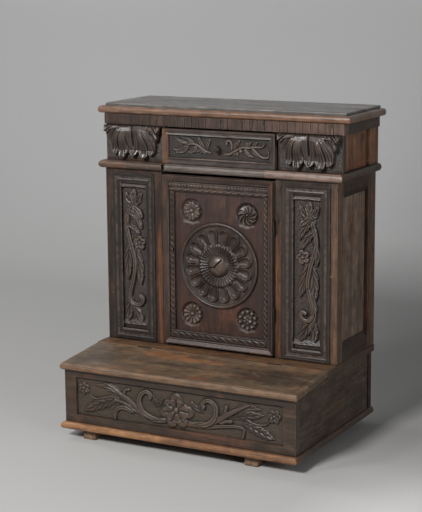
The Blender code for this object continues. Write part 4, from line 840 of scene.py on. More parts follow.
CHEST_LEFT = (
    *frond((-163, 135), ((-222, 151), (-252, 160), (-226, 168)), 7.5, 4.8, -0.1),
    leaf(((-184, 128), (-238, 108), (-289, 82)), 19, 6, 5, 2),
    stem(((-200, 134), (-230, 126), (-253, 121), (-270, 128)), 3.4, 4.8),
    stem(((-136, 99), (-158, 107), (-178, 105), (-189, 93), (-191, 74)), 8, 5.8, ridges=2, ends=(0.7, 0.5)),
    stem(((-158, 132), (-162, 146), (-157, 158), (-146, 161)), 5, 5.8, ends=(0.8, 0.9)),
    *frond((-66, 126), ((-73, 152), (-44, 148)), 7.5, 5.3, -0.1, (0.6, 0.4)),
    stem(((-60, 86), (-90, 91), (-115, 101), (-140, 112), (-163, 121), (-190, 126)), 6.4, 6, ridges=2, ends=(1, 0.6)),
    stem(((-24, 92), (-62, 87), (-96, 95), (-120, 111), (-146, 130), (-172, 143), (-194, 157), (-212, 167)), 8.4, 6.7,
         ridges=4, ends=(0.9, 0.4)),
    stem(((-60, 90), (-86, 95), (-105, 108), (-115, 131), (-107, 153), (-91, 162), (-79, 156), (-80, 146)), 8.6, 7.1,
         ridges=2, ends=(0.5, 0.7)),
)
CHEST_RIGHT = (
    *frond((160, 134), ((226, 147), (250, 157), (236, 165)), 8, 5.1, 0.1),
    leaf(((172, 126), (214, 136), (256, 143)), 14, 5.4, 4, 2),
    leaf(((204, 112), (244, 98), (288, 84)), 18, 6, 5, 2),
    stem(((206, 124), (236, 116), (262, 119), (277, 131)), 3.6, 4.8),
    stem(((128, 104), (144, 111), (162, 114)), 6, 6, ends=(0.6, 1.0)),
    stem(((135, 120), (146, 136), (149, 152)), 5.4, 6, ends=(0.6, 1.0)),
    *frond((77, 128), ((46, 151), (76, 153)), 8, 5.3, 0.1, (0.6, 0.4)),
    stem(((50, 86), (97, 90), (143, 98), (180, 102), (200, 97), (197, 75)), 6.2, 5.8, ridges=2, ends=(0.9, 0.6)),
    stem(((26, 90), (63, 92), (97, 98), (120, 110), (147, 127), (173, 143), (199, 157), (216, 165)), 8.4, 6.7,
         ridges=4, ends=(0.9, 0.4)),
    stem(((64, 90), (90, 95), (110, 110), (119, 131), (116, 150), (103, 161), (88, 160), (80, 151), (82, 142)), 8.6,
         7.1, ridges=2, ends=(0.5, 0.7)),
)
CHEST_FLOWERS = (
    *flower((-290, 146), 6, tuple(((30 + 60 * k, 19, 8.5) for k in range(6))), 5.4),
    *flower((287, 144), 6, tuple(((60 * k, 20, 9) for k in range(6))), 5.6),
    *flower((-1, 122), 7.1, ((148, 42, 15), (196, 52, 20), (-112, 52, 22), (-58, 52, 22), (-2, 54, 23), (90, 48, 25)),
         9),
)


@dataclass(frozen=True)
class Keyhole:
    """A keyhole through a carved sheet: a round eye with a straight slot below it, in metres."""
    x: float
    z: float
    radius: float = 0.0024
    half: float = 0.00125   # the slot's half width
    drop: float = 0.008     # how far the slot goes below the eye's middle
    before: float = 0.012   # how far the cutter reaches before the board's floor
    behind: float = 0.004   # and behind it
    steps: int = 22         # points round the eye

    def cut(self, piece: bpy.types.Object, depth: float) -> None:
        """Cuts the sheet through, from before it to behind it.

        Args:
            piece: the sheet.
            depth: depth of the board's floor.
        """
        lean = math.asin(self.half / self.radius)
        turns = np.linspace(-math.pi / 2 + lean, 1.5 * math.pi - lean, self.steps)
        rim = np.stack((self.x + self.radius * np.cos(turns), self.z + self.radius * np.sin(turns)), axis=1)
        foot = self.z - self.drop
        rim = np.concatenate((rim, [[self.x - self.half, foot], [self.x + self.half, foot]]))
        count = len(rim)
        front, back = (np.insert(rim, 1, y_at(depth + over), axis=1) for over in (self.before, -self.behind))
        k = np.arange(count)
        walls = np.stack((k, count + k, count + (k + 1) % count, (k + 1) % count), axis=1).tolist()
        mesh = bpy.data.meshes.new("keyhole")
        mesh.from_pydata(np.concatenate((front, back)).tolist(), [],
                         [k.tolist(), (count + k)[::-1].tolist(), *walls])
        tool = bpy.data.objects.new("keyhole", mesh)
        bpy.context.scene.collection.objects.link(tool)
        cut = piece.modifiers.new("keyhole", "BOOLEAN")
        cut.operation, cut.solver, cut.object = "DIFFERENCE", "EXACT", tool
        seen = bpy.context.evaluated_depsgraph_get()
        new = bpy.data.meshes.new_from_object(piece.evaluated_get(seen), preserve_all_data_layers=True,
                                              depsgraph=seen)
        piece.modifiers.clear()
        old, piece.data = piece.data, new
        new.name = piece.name
        bpy.data.meshes.remove(old)
        bpy.data.objects.remove(tool)
        bpy.data.meshes.remove(mesh)


@dataclass
class ChestCarving:
    """The scrolls of the kneeling chest's front, with its keyhole."""
    wardrobe: Wardrobe
    half: float = 311.3
    low: float = 71.2
    high: float = 172.9
    floor: float = 0.4965   # the sunk field's depth, in metres
    keyhole: Keyhole = Keyhole(0.0, 0.1385)

    def build(self) -> None:
        """Carves the front's field and cuts the keyhole through it."""
        sheet = Relief("chest_front_carving", -self.half, self.half, self.low, self.high, self.floor, "case",
                       CARVED_CHEST, step=1.0, tall=7.0)
        height = soften(carve((*CHEST_LEFT, *CHEST_RIGHT, *CHEST_FLOWERS), *sheet.grid()))
        self.keyhole.cut(sheet.make(height, self.wardrobe), self.floor)


# Cupboard

PILASTER_LEFT = (
    leaf(((-280, 344), (-264, 316), (-243, 284)), 18, 8.4, 3),
    leaf(((-278, 350), (-287, 320), (-288, 284)), 16, 9.2, 3),
    leaf(((-276, 524), (-288, 470), (-288, 404)), 18, 9, 4),
    leaf(((-268, 512), (-256, 460), (-246, 392)), 19, 10, 4),
    stem(((-266, 640), (-278, 614), (-288, 590), (-290, 565), (-287, 540), (-280, 515), (-273, 490), (-267, 465),
         (-266, 440), (-270, 412), (-277, 384), (-283, 362), (-281, 344), (-269, 335), (-252, 334), (-242, 343),
         (-241, 355), (-249, 360)), 7.4, 9.8, ridges=2, ends=(0.8, 0.9)),
    leaf(((-280, 622), (-291, 585), (-293, 535)), 12, 9.4, 3),
    leaf(((-284, 560), (-266, 552), (-250, 540)), 11, 8.8, 3, ends=(0.6, 0.4)),
    leaf(((-288, 602), (-270, 592), (-254, 578), (-244, 556)), 14, 9.6, 3, ends=(0.6, 0.5)),
    leaf(((-282, 616), (-266, 611), (-250, 600), (-243, 588)), 9.5, 11, ends=(0.7, 0.7)),
    *flower((-250, 512), 9.4, tuple((90 + 72 * k, 22, 11.5) for k in range(5)), 6.4),
    leaf(((-266, 616), (-283, 632), (-293, 650)), 12, 8.4, 2, ends=(0.7, 0.5)),
    leaf(((-264, 616), (-253, 634), (-245, 650)), 12, 8.4, 2, ends=(0.7, 0.5)),
    leaf(((-266, 614), (-268, 640), (-268, 658)), 15, 10.8, 2, ends=(0.7, 0.6)),
)
PILASTER_RIGHT = (
    leaf(((277, 346), (262, 316), (246, 284)), 17, 8.6, 3),
    leaf(((279, 346), (287, 316), (291, 284)), 16, 9, 3),
    leaf(((282, 516), (263, 464), (246, 406)), 19, 9.2, 4),
    leaf(((276, 504), (285, 455), (291, 396)), 18, 10, 4),
    stem(((268, 640), (280, 610), (288, 584), (293, 560), (292, 536), (285, 513), (277, 490), (271, 462), (269, 434),
         (276, 403), (283, 372), (283, 347), (275, 318)), 8, 9.6, ridges=2, ends=(0.8, 0.5)),
    leaf(((274, 426), (284, 386), (283, 348), (272, 304)), 14, 10, 4),
    leaf(((290, 588), (275, 574), (260, 558), (249, 536)), 14, 9.4, 3, ends=(0.6, 0.4)),
    leaf(((286, 610), (270, 603), (256, 589), (245, 566)), 14, 10.2, 3, ends=(0.6, 0.5)),
    leaf(((282, 622), (266, 615), (250, 602)), 9.5, 11, ends=(0.7, 0.7)),
    *flower((254, 514), 9.4, tuple((110 + 72 * k, 22, 11.5) for k in range(5)), 6.4),
    leaf(((288, 548), (297, 524), (294, 496)), 11, 9.6, 2, ends=(0.6, 0.5)),
    stem(((284, 356), (272, 342), (257, 344), (249, 355), (253, 364), (262, 362)), 7.4, 9, ends=(0.7, 0.9)),
    leaf(((271, 616), (288, 632), (297, 650)), 12, 8.4, 2, ends=(0.7, 0.5)),
    leaf(((269, 616), (255, 634), (246, 650)), 12, 8.4, 2, ends=(0.7, 0.5)),
    leaf(((270, 614), (272, 640), (272, 658)), 15, 10.8, 2, ends=(0.7, 0.6)),
)


@dataclass
class PilasterCarving:
    """The hanging foliage of the two pilasters, with the slopes above and below it."""
    wardrobe: Wardrobe
    inner: float = 227.1    # the sunk field's sides, in millimetres from the middle of the stool
    outer: float = 305.4
    low: float = 262.6
    high: float = 679.4
    floor: float = 0.252    # its depth, in metres
    slope_low: float = 668.0
    slope_high: float = 679.0
    sill_top: float = 290.0
    sill_lip: float = 274.0

    def build(self) -> None:
        """Carves the left and the right panel.

        The slope at the top comes forward from the frame down to its lip, and under the lip it drops to
        the ground. The sill at the foot comes forward down to its own lip, then drops to a flat ledge.
        """
        for name, left, right, strokes in (("left", -self.outer, -self.inner, PILASTER_LEFT),
                                           ("right", self.inner, self.outer, PILASTER_RIGHT)):
            sheet = Relief(f"pilaster_carving_{name}", left, right, self.low, self.high, self.floor, "case",
                           CARVED_UP, step=0.82, tall=8.4)
            across, up = sheet.grid()
            leaves = soften(carve(strokes, across, up))
            x, z = np.meshgrid((across - (left + right) / 2) / (right - left) * 2, up)
            lip = self.slope_low + 1.6 * (1 - x ** 2)
            top = np.where(z > lip, np.interp(z, (self.slope_low, self.slope_high), (9.6, 3.0)), 0)
            sill = np.interp(z, (262, self.sill_lip - 0.9, self.sill_lip, self.sill_top), (0.8, 0.8, 6.4, 0))
            sill = sill + 0.5 * np.sin(x * 9 + 2 * np.sin(z * 0.4)) * np.sin(z * 0.8 + x * 5) * (sill > 0.9)
            sheet.make(np.maximum(leaves, np.maximum(soften(top), sill)), self.wardrobe)


PETALS, FLUTES = 16, 38
BEAD_MIDDLE, BEAD_HALF = 115.6, 4.4     # radius of the patera's bead and its half width
BOWL_MIDDLE, BOWL_RADIUS = 87, 16.6     # where the petals' round ends are centred, and how wide they are
BUD_RADIUS = 33.5
BUD_SPLITS = ((46, 6.5, 3.0), (190, 4.4, 2.6), (-58, 2.4, 2.2))     # degrees, depth, half width


def fold(a: np.ndarray, count: int) -> np.ndarray:
    """Place across one of so many equal sectors of a circle, -1 to 1."""
    return (a * count / TURN) % 1.0 * 2 - 1


def patera(r: np.ndarray, a: np.ndarray) -> np.ndarray:
    """Height of the great patera, in millimetres.

    From the rim inwards: a half-round bead, a hollow band, sixteen spoon petals with raised rims and
    sunk bowls, thirty-eight flutes that run down into a dish, and a bud with a split.
    """
    bead = 3.0 + 4.8 * dome((r - BEAD_MIDDLE) / BEAD_HALF)
    x = np.abs(fold(a, PETALS))
    aside, parted = x * r * math.pi / PETALS, (1 - x) * r * math.pi / PETALS - 0.4
    inward = np.where(r > BOWL_MIDDLE, BOWL_RADIUS - np.hypot(r - BOWL_MIDDLE, aside), parted)
    rim = np.interp(inward, (0, 0.7, 1.8, 3.4, 8.0, 13), (0, 5.2, 6.6, 5.0, 0.6, -1.2))
    petals = 1.8 + rim * held((r - 52) / 16, 0.35)
    petals = np.where(inward > 0, petals, 1.4 + 0.02 * (r - 104) ** 2 * (r > 104))
    flute = (2.9 * np.abs(np.cos(a * FLUTES / 2)) ** 0.8 - 1.5) * held((r - 30) / 5) * held((66 - r) / 5)
    dish = 2.6 + 6.2 * held((r - 29) / 30) ** 1.3 + flute
    seam = held((r - 55) / 8)
    cone = 19.5 * held(1 - (r / BUD_RADIUS) ** 1.9) ** 0.66
    u, v = r * np.cos(a) + 6.0, r * np.sin(a) + 2.0
    for turn, deep, wide in BUD_SPLITS:
        cos, sin = math.cos(math.radians(turn)), math.sin(math.radians(turn))
        ahead, off = u * cos + v * sin, v * cos - u * sin
        cone = cone - deep * held(1 - np.abs(off) / wide) * held((ahead + 2) / 4) * held((31 - ahead) / 8)
    out = np.where(r > BEAD_MIDDLE - BEAD_HALF, bead, dish * (1 - seam) + petals * seam)
    return np.where(r < BUD_RADIUS, np.maximum(cone, dish), out)


def leafy(r: np.ndarray, a: np.ndarray) -> np.ndarray:
    """Rosette of six cleft leaves round a boss: each leaf swells from the middle out and is grooved."""
    x = fold(a, 6)
    edge = 21 + 7 * (1 - np.abs(x)) ** 0.5 - 2.5 * np.exp(-(x / 0.16) ** 2)
    lobe = held((edge - r) / 3) ** 0.5 * (2.2 + 3.2 * np.sin(held(r / 26) * math.pi * 0.8))
    lobe = lobe * (1 - 0.35 * np.exp(-(x / 0.12) ** 2)) * (0.7 + 0.3 * (1 - np.abs(x)) ** 0.4)
    return np.maximum(lobe, 6.6 * dome(r / 7.5)) + 0.4


def pinwheel(r: np.ndarray, a: np.ndarray) -> np.ndarray:
    """Ten curved blades: the height climbs across each blade, whose edges curl with the radius."""
    part = ((a - 0.030 * r) * 10 / TURN) % 1.0
    blade = (1.4 + 4.4 * part ** 0.8 * held((1 - part) / 0.12)) * held((27.5 - r) / 4) ** 0.5
    return np.maximum(blade * held(r / 7, 0.25), 4.8 * dome(r / 4.2)) + 0.4


def daisy(r: np.ndarray, a: np.ndarray) -> np.ndarray:
    """Twelve rounded petals round a boss."""
    x = fold(a, 12)
    petal = held((23 + 4.5 * dome(x) - r) / 3) ** 0.5 * (1.6 + 3.6 * held(r / 24)) * (1 - 0.5 * np.abs(x) ** 3)
    return np.maximum(petal, 6.4 * dome(r / 6.5)) + 0.4


def beaded(r: np.ndarray, a: np.ndarray) -> np.ndarray:
    """A ring of ten beads round a small six-leaved rosette."""
    x, y = fold(a, 10) * math.pi / 10 * 22, fold(a, 6)
    beads = 5.6 * np.sqrt(held(1 - (x / 5.4) ** 2 - ((r - 22) / 5.6) ** 2))
    inner = 4.4 * held((11.5 + 2.5 * (1 - y ** 2) - r) / 3) ** 0.5 * (1 - 0.4 * np.abs(y))
    return np.maximum(np.maximum(beads, inner), 5.4 * dome(r / 4)) + 0.5


def ribbon(s: np.ndarray, v: np.ndarray, pitch: float, slant: float, rise: float) -> np.ndarray:
    """A twisted ribbon: its rise times (1 - v^2)^1/2 times a saw that slants across it.

    Args:
        s: place along it.
        v: place across it, -1 to 1.
        pitch: length of one turn.
        slant: how much of a turn the saw leans from the middle to the edge.
        rise: its height.

    Returns:
        The heights.
    """
    part = (s / pitch + slant * v) % 1.0
    return rise * dome(v) * (0.18 + 0.82 * held(np.minimum(part / 0.62, (1 - part) / 0.38)) ** 0.7)


@dataclass
class DoorCarving:
    """The patera, the four rosettes and the carved borders of the door."""
    wardrobe: Wardrobe
    centre_x: float = 0.00075
    patera_z: float = 0.468
    field: float = 0.2545   # the field's depth, in metres
    dish_floor: float = 0.2482
    dish_x: float = 0.0855
    dish_low: float = 0.3235
    dish_high: float = 0.614
    band: float = 0.260     # the border's depth, in metres
    left: float = -150.6    # its outer sides, in millimetres
    right: float = 152.1
    low: float = 253.0
    high: float = 694.2
    foot: float = 274.4     # where its foot ends and its top begins
    head: float = 667.6
    wide: float = 14.6      # its width at the sides
    parting: float = 0.3    # gap between its lengths
    broad: float = 1.05     # the rosettes' widths and heights over those of their shapes
    tall: float = 1.45
    keyhole: Keyhole = Keyhole(-0.1385, 0.5051)

    def rail(self, name: str, x: np.ndarray, z: np.ndarray) -> np.ndarray:
        """Heights of the top's leaf dashes over a row of small teeth, or the foot's scalloped ribbon."""
        if name == "top":
            height = np.maximum(ribbon(x, (z - 672.8) / 3.8, 22.0, -0.22, 4.2),
                                ribbon(x, (z - 684.0) / 4.2, 9.6, 0.30, 2.2))
            return np.maximum(height, dome((z - 691) / 1.6))
        uneven = 0.72 + 0.28 * np.sin(x / 23.0 + 0.7) * np.cos(x / 61.0)
        height = np.maximum(uneven * ribbon(x, (z - 263.6) / 5.4, 21.0, 0.34, 3.0), 1.8 * dome((z - 272.4) / 1.6))
        return np.maximum(height, 0.45 * ribbon(x + 5, (z - 256.5) / 2.0, 16.5, 0.5, 2.8))

    def stile(self, name: str, x: np.ndarray, z: np.ndarray) -> np.ndarray:
        """Heights of a side's worn zigzag ribbon and its fillet."""
        middle, fillet = (-144.6, -137.6) if name == "left" else (146.2, 139.1)
        worn = 0.55 + 0.45 * np.sin(z / 37.0 + 1.3) * np.cos(z / 91.0) if name == "left" else 1.0
        wave = middle + 1.5 * np.sin(z * TURN / 16.0)
        height = ribbon(z, (x - wave) / 5.2, 16.0, 0.55, 3.6) * worn
        height = np.maximum(height, 0.6 * ribbon(z + 8, (x - middle + 2.5) / 3.4, 16.0, -0.5, 3.6))
        return np.maximum(height, 1.5 * dome((x - fillet) / 1.5))

    def build(self) -> None:
        """Carves everything on the door."""
        x, z = self.centre_x, self.patera_z
        Disc("patera", (x, self.field + 0.0003, z), patera, "door", CARVED_DOOR, radius=120.0, rings=118, spokes=608,
             sunk=0.4, tall=16.0, replaces=("door_patera",)).make(self.wardrobe)
        for shape, side, height in ((leafy, -1, self.dish_high), (pinwheel, 1, self.dish_high),
                                    (daisy, -1, self.dish_low), (beaded, 1, self.dish_low)):
            Disc(f"rosette_{shape.__name__}", (x + side * self.dish_x, self.dish_floor, height),
                 lambda r, a, shape=shape: self.tall * shape(r / self.broad, a), "door", CARVED_ROSETTE,
                 radius=29.5, rings=36, spokes=180, sunk=0.3, tall=8.0).make(self.wardrobe)
        stile = (self.foot + self.parting, self.head - self.parting)
        for name, shape, *sides in (("top", self.rail, self.left, self.right, self.head, self.high),
                                    ("foot", self.rail, self.left, self.right, self.low, self.foot),
                                    ("left", self.stile, self.left, self.left + self.wide, *stile),
                                    ("right", self.stile, self.right - self.wide, self.right, *stile)):
            sheet = Relief(f"door_border_{name}", *sides, self.band, "door", CARVED_BORDER, step=0.7, tall=3.4,
                           ground=0.3)
            piece = sheet.make(soften(shape(name, *np.meshgrid(*sheet.grid()))), self.wardrobe)
            if name == "left":
                self.keyhole.cut(piece, self.band)


# Drawer stage

DRAWER = (
    *frond((-90, 798), ((-140, 782), (-132, 774), (-121, 773)), 5.2, 6.2, 0.16, (0.5, 0.3)),
    *frond((-66, 798), ((-96, 776), (-88, 773), (-79, 776)), 4.8, 6.2, 0.18, (0.5, 0.3)),
    *frond((-54, 793), ((-66, 778), (-52, 775)), 4.6, 6, 0.14, (0.5, 0.3)),
    *frond((-46, 789), ((-39, 774),), 4.6, 6, -0.1, (0.6, 0.4)),
    leaf(((-90, 799), (-108, 803), (-128, 812)), 6, 7, 3, ends=(0.5, 0.3)),
    leaf(((-72, 800), (-82, 806), (-93, 816)), 5.4, 6.6, ends=(0.6, 0.4)),
    leaf(((-42, 790), (-53, 803), (-58, 817)), 6.4, 6.2, ends=(0.6, 0.4)),
    leaf(((-34, 789), (-31, 802), (-24, 814)), 5.4, 6.2, ends=(0.6, 0.5)),
    stem(((-24, 778), (-37, 782), (-49, 789), (-62, 797), (-76, 800), (-90, 798), (-100, 793)), 3.6, 7.2, ridges=2),
    *frond((54, 789), ((47, 775), (58, 773)), 5, 6, 0.1, (0.6, 0.4)),
    *frond((80, 797), ((96, 781), (107, 773)), 5.2, 6.4, -0.16, (0.5, 0.3)),
    leaf(((45, 789), (54, 803), (66, 816)), 6.8, 6.4, 3, ends=(0.6, 0.4)),
    stem(((41, 789), (42, 803), (36, 813), (27, 811), (27, 803)), 3.4, 6, ends=(0.8, 0.9)),
    *frond((88, 797), ((100, 812), (88, 810)), 5.2, 6, 0.12, (0.6, 0.3)),
    *frond((108, 800), ((118, 813),), 4.8, 6, 0.12, (0.6, 0.3)),
    *frond((108, 798), ((117, 776), (126, 775)), 4.8, 6, -0.14, (0.5, 0.3)),
    stem(((20, 776), (34, 777), (49, 785), (64, 793), (78, 798), (92, 797), (106, 800), (120, 800), (132, 801),
         (142, 811)), 3.6, 7.2, ridges=2),
    stem(((102, 798), (116, 786), (130, 775), (146, 773), (154, 779), (152, 788)), 3.8, 6.8, ends=(0.8, 0.9)),
    bud(((68, 787), (69, 787)), 5.6, 7.2),
)


@dataclass
class DrawerCarving:
    """The two branches on the drawer's front."""
    wardrobe: Wardrobe
    half: float = 153.8
    low: float = 760.2
    high: float = 819.8
    floor: float = 0.2505   # the sunk field's depth, in metres

    def build(self) -> None:
        """Carves the drawer's field; the knob's foot stands through the sheet."""
        sheet = Relief("drawer_carving", -self.half, self.half, self.low, self.high, self.floor, "drawer",
                       CARVED_DRAWER, step=0.72, tall=6.0, ground=0.3, sunk=0.2)
        sheet.make(soften(carve(DRAWER, *sheet.grid(), halo=0.7)), self.wardrobe)


@dataclass
class Corbels:
    """The two carved acanthus corbels at the ends of the drawer stage."""
    wardrobe: Wardrobe
    middle: float = 268.5   # millimetres from the middle of the stool to its rib
    half: float = 89.5
    low: float = 748.0
    high: float = 840.5
    board: float = 0.2428   # depth of the corner board's front, in metres
    fan: float = 118.0      # height above the foot from which the veins fan out
    droop: float = 0.24     # degrees that a vein falls back for each millimetre
    ridge: float = 5.4      # degrees from one fine ridge to the next
    splits: tuple[float, ...] = (-30.0, 16.0, 36.0, 54.0, 67.0, 84.0)       # the veins where the lobes part
    dips: tuple[float, ...] = (0.14, 0.16, 0.15, 0.12, 0.02)    # how far each lobe's reach falls back, as a share

    def leaf(self, aside: np.ndarray, v: np.ndarray) -> np.ndarray:
        """Height of the leaf over the corner board, in millimetres.

        A place's vein is its angle from the fan's middle plus the droop for its distance. The veins
        are sorted into lobes: within a lobe the reach runs out to a tip and falls back, so that the
        outline is toothed. Over the bracket's S lie two domes, fine ridges along the veins, deep
        grooves between the lobes and down the middle, and an ear at the upper corner.

        Args:
            aside: distance from the middle line.
            v: height above the foot.

        Returns:
            The heights, 0 outside the leaf.
        """
        far = np.hypot(aside, self.fan - v)
        vein = np.degrees(np.arctan2(aside, self.fan - v)) + self.droop * (far - 70)
        splits = np.array(self.splits)
        place = np.clip(np.searchsorted(splits, vein) - 1, 0, len(splits) - 2)
        part = held((vein - splits[place]) / np.diff(splits)[place])
        reach = np.interp(vein, (0, 21, 27, 33, 40, 47, 54, 62, 72, 90),
                          (112, 115, 125, 130, 131, 121, 110, 101, 96, 97))
        tooth = np.minimum(part / 0.60, (1 - part) / 0.40) ** 0.5
        tooth = np.where(place == 0, held((splits[1] - vein) / 6) ** 0.5, tooth)
        reach = reach * (1 - np.array(self.dips)[place] * (1 - tooth))
        inside = held((reach - far) / 2.2) ** 0.6
        bracket = np.interp(v, (0, 6, 14, 24, 36, 50, 64, 78, 88, 92.5), (7, 11, 9, 6.5, 8, 11, 14.5, 16.5, 15, 11))
        swell = 11 * np.exp(-((aside - 36) / 24) ** 2 - ((v - 60) / 27) ** 2)
        curl = 4.5 * held(1 - (reach - far) / 16)
        wave = np.abs(np.cos(math.pi * vein / self.ridge))
        fine = wave ** 0.6 * np.interp(far, (30, 60, 110), (0.6, 1.7, 3.0)) + wave * held((aside - 45) / 12)
        gap = np.abs(vein[..., None] - splits[1:-1]).min(-1) * far * math.pi / 180
        groove = 5.2 * np.exp(-(gap / 2.2) ** 2) * held((far - 46) / 26)
        groove = groove + 6.5 * np.exp(-(aside / 2.4) ** 2) * held((v - 22) / 20)
        ear = carve((stem(((40, 90), (56, 88), (72, 84), (82, 76)), 6, 6, ridges=2, ends=(0.5, 1.0)),
                     bud(((79, 80), (80, 79)), 9, 8)), aside[0], v[:, 0], 0.6)
        return inside * np.clip(bracket + swell + curl + fine - groove + 0.8 * ear, 1, 29)

    def build(self) -> None:
        """Carves both corbels; each is the same on both sides of its rib."""
        for name, centre in (("left", -self.middle), ("right", self.middle)):
            sheet = Relief(f"corbel_{name}_leaf", centre - self.half, centre + self.half, self.low, self.high,
                           self.board, "case", CARVED, step=0.8, tall=34.0, ground=0.3, sunk=0.0,
                           replaces=(f"corbel_{name}",))
            across, up = sheet.grid()
            places, back = np.unique(np.round(np.abs(across - centre), 6), return_inverse=True)
            aside, v = np.meshgrid(places, up - self.low)
            sheet.make(soften(self.leaf(aside, v)[:, back]), self.wardrobe)


@dataclass
class Pegs:
    """The peg ends that show on the moulding and the pilaster boards."""
    wardrobe: Wardrobe
    radius: float = 2.6     # millimetres
    places: tuple[tuple[float, float, float], ...] = (
        (-0.2862, 0.2721, 0.7285), (-0.2122, 0.2721, 0.7290), (0.3345, 0.260, 0.6064),
        (0.3371, 0.260, 0.4687), (-0.3365, 0.260, 0.3622))

    def top(self, r: np.ndarray, a: np.ndarray) -> np.ndarray:
        """A low dome: 0.15 mm at its rim and 0.8 mm more in its middle, on a quarter circle's curve."""
        return 0.15 + 0.8 * dome(r / self.radius) + 0 * a

    def build(self) -> None:
        """Sets each peg with its back 2 mm deep in the wood."""
        for index, place in enumerate(self.places):
            Disc(f"peg_{index}", place, self.top, "case", PEG_WOOD, radius=self.radius, rings=4, spokes=20, sunk=2.0,
                 tall=2.0).make(self.wardrobe)


# Boards

NOSE, RUST, SOOT = "7c563c", "a0683e", "281f19"
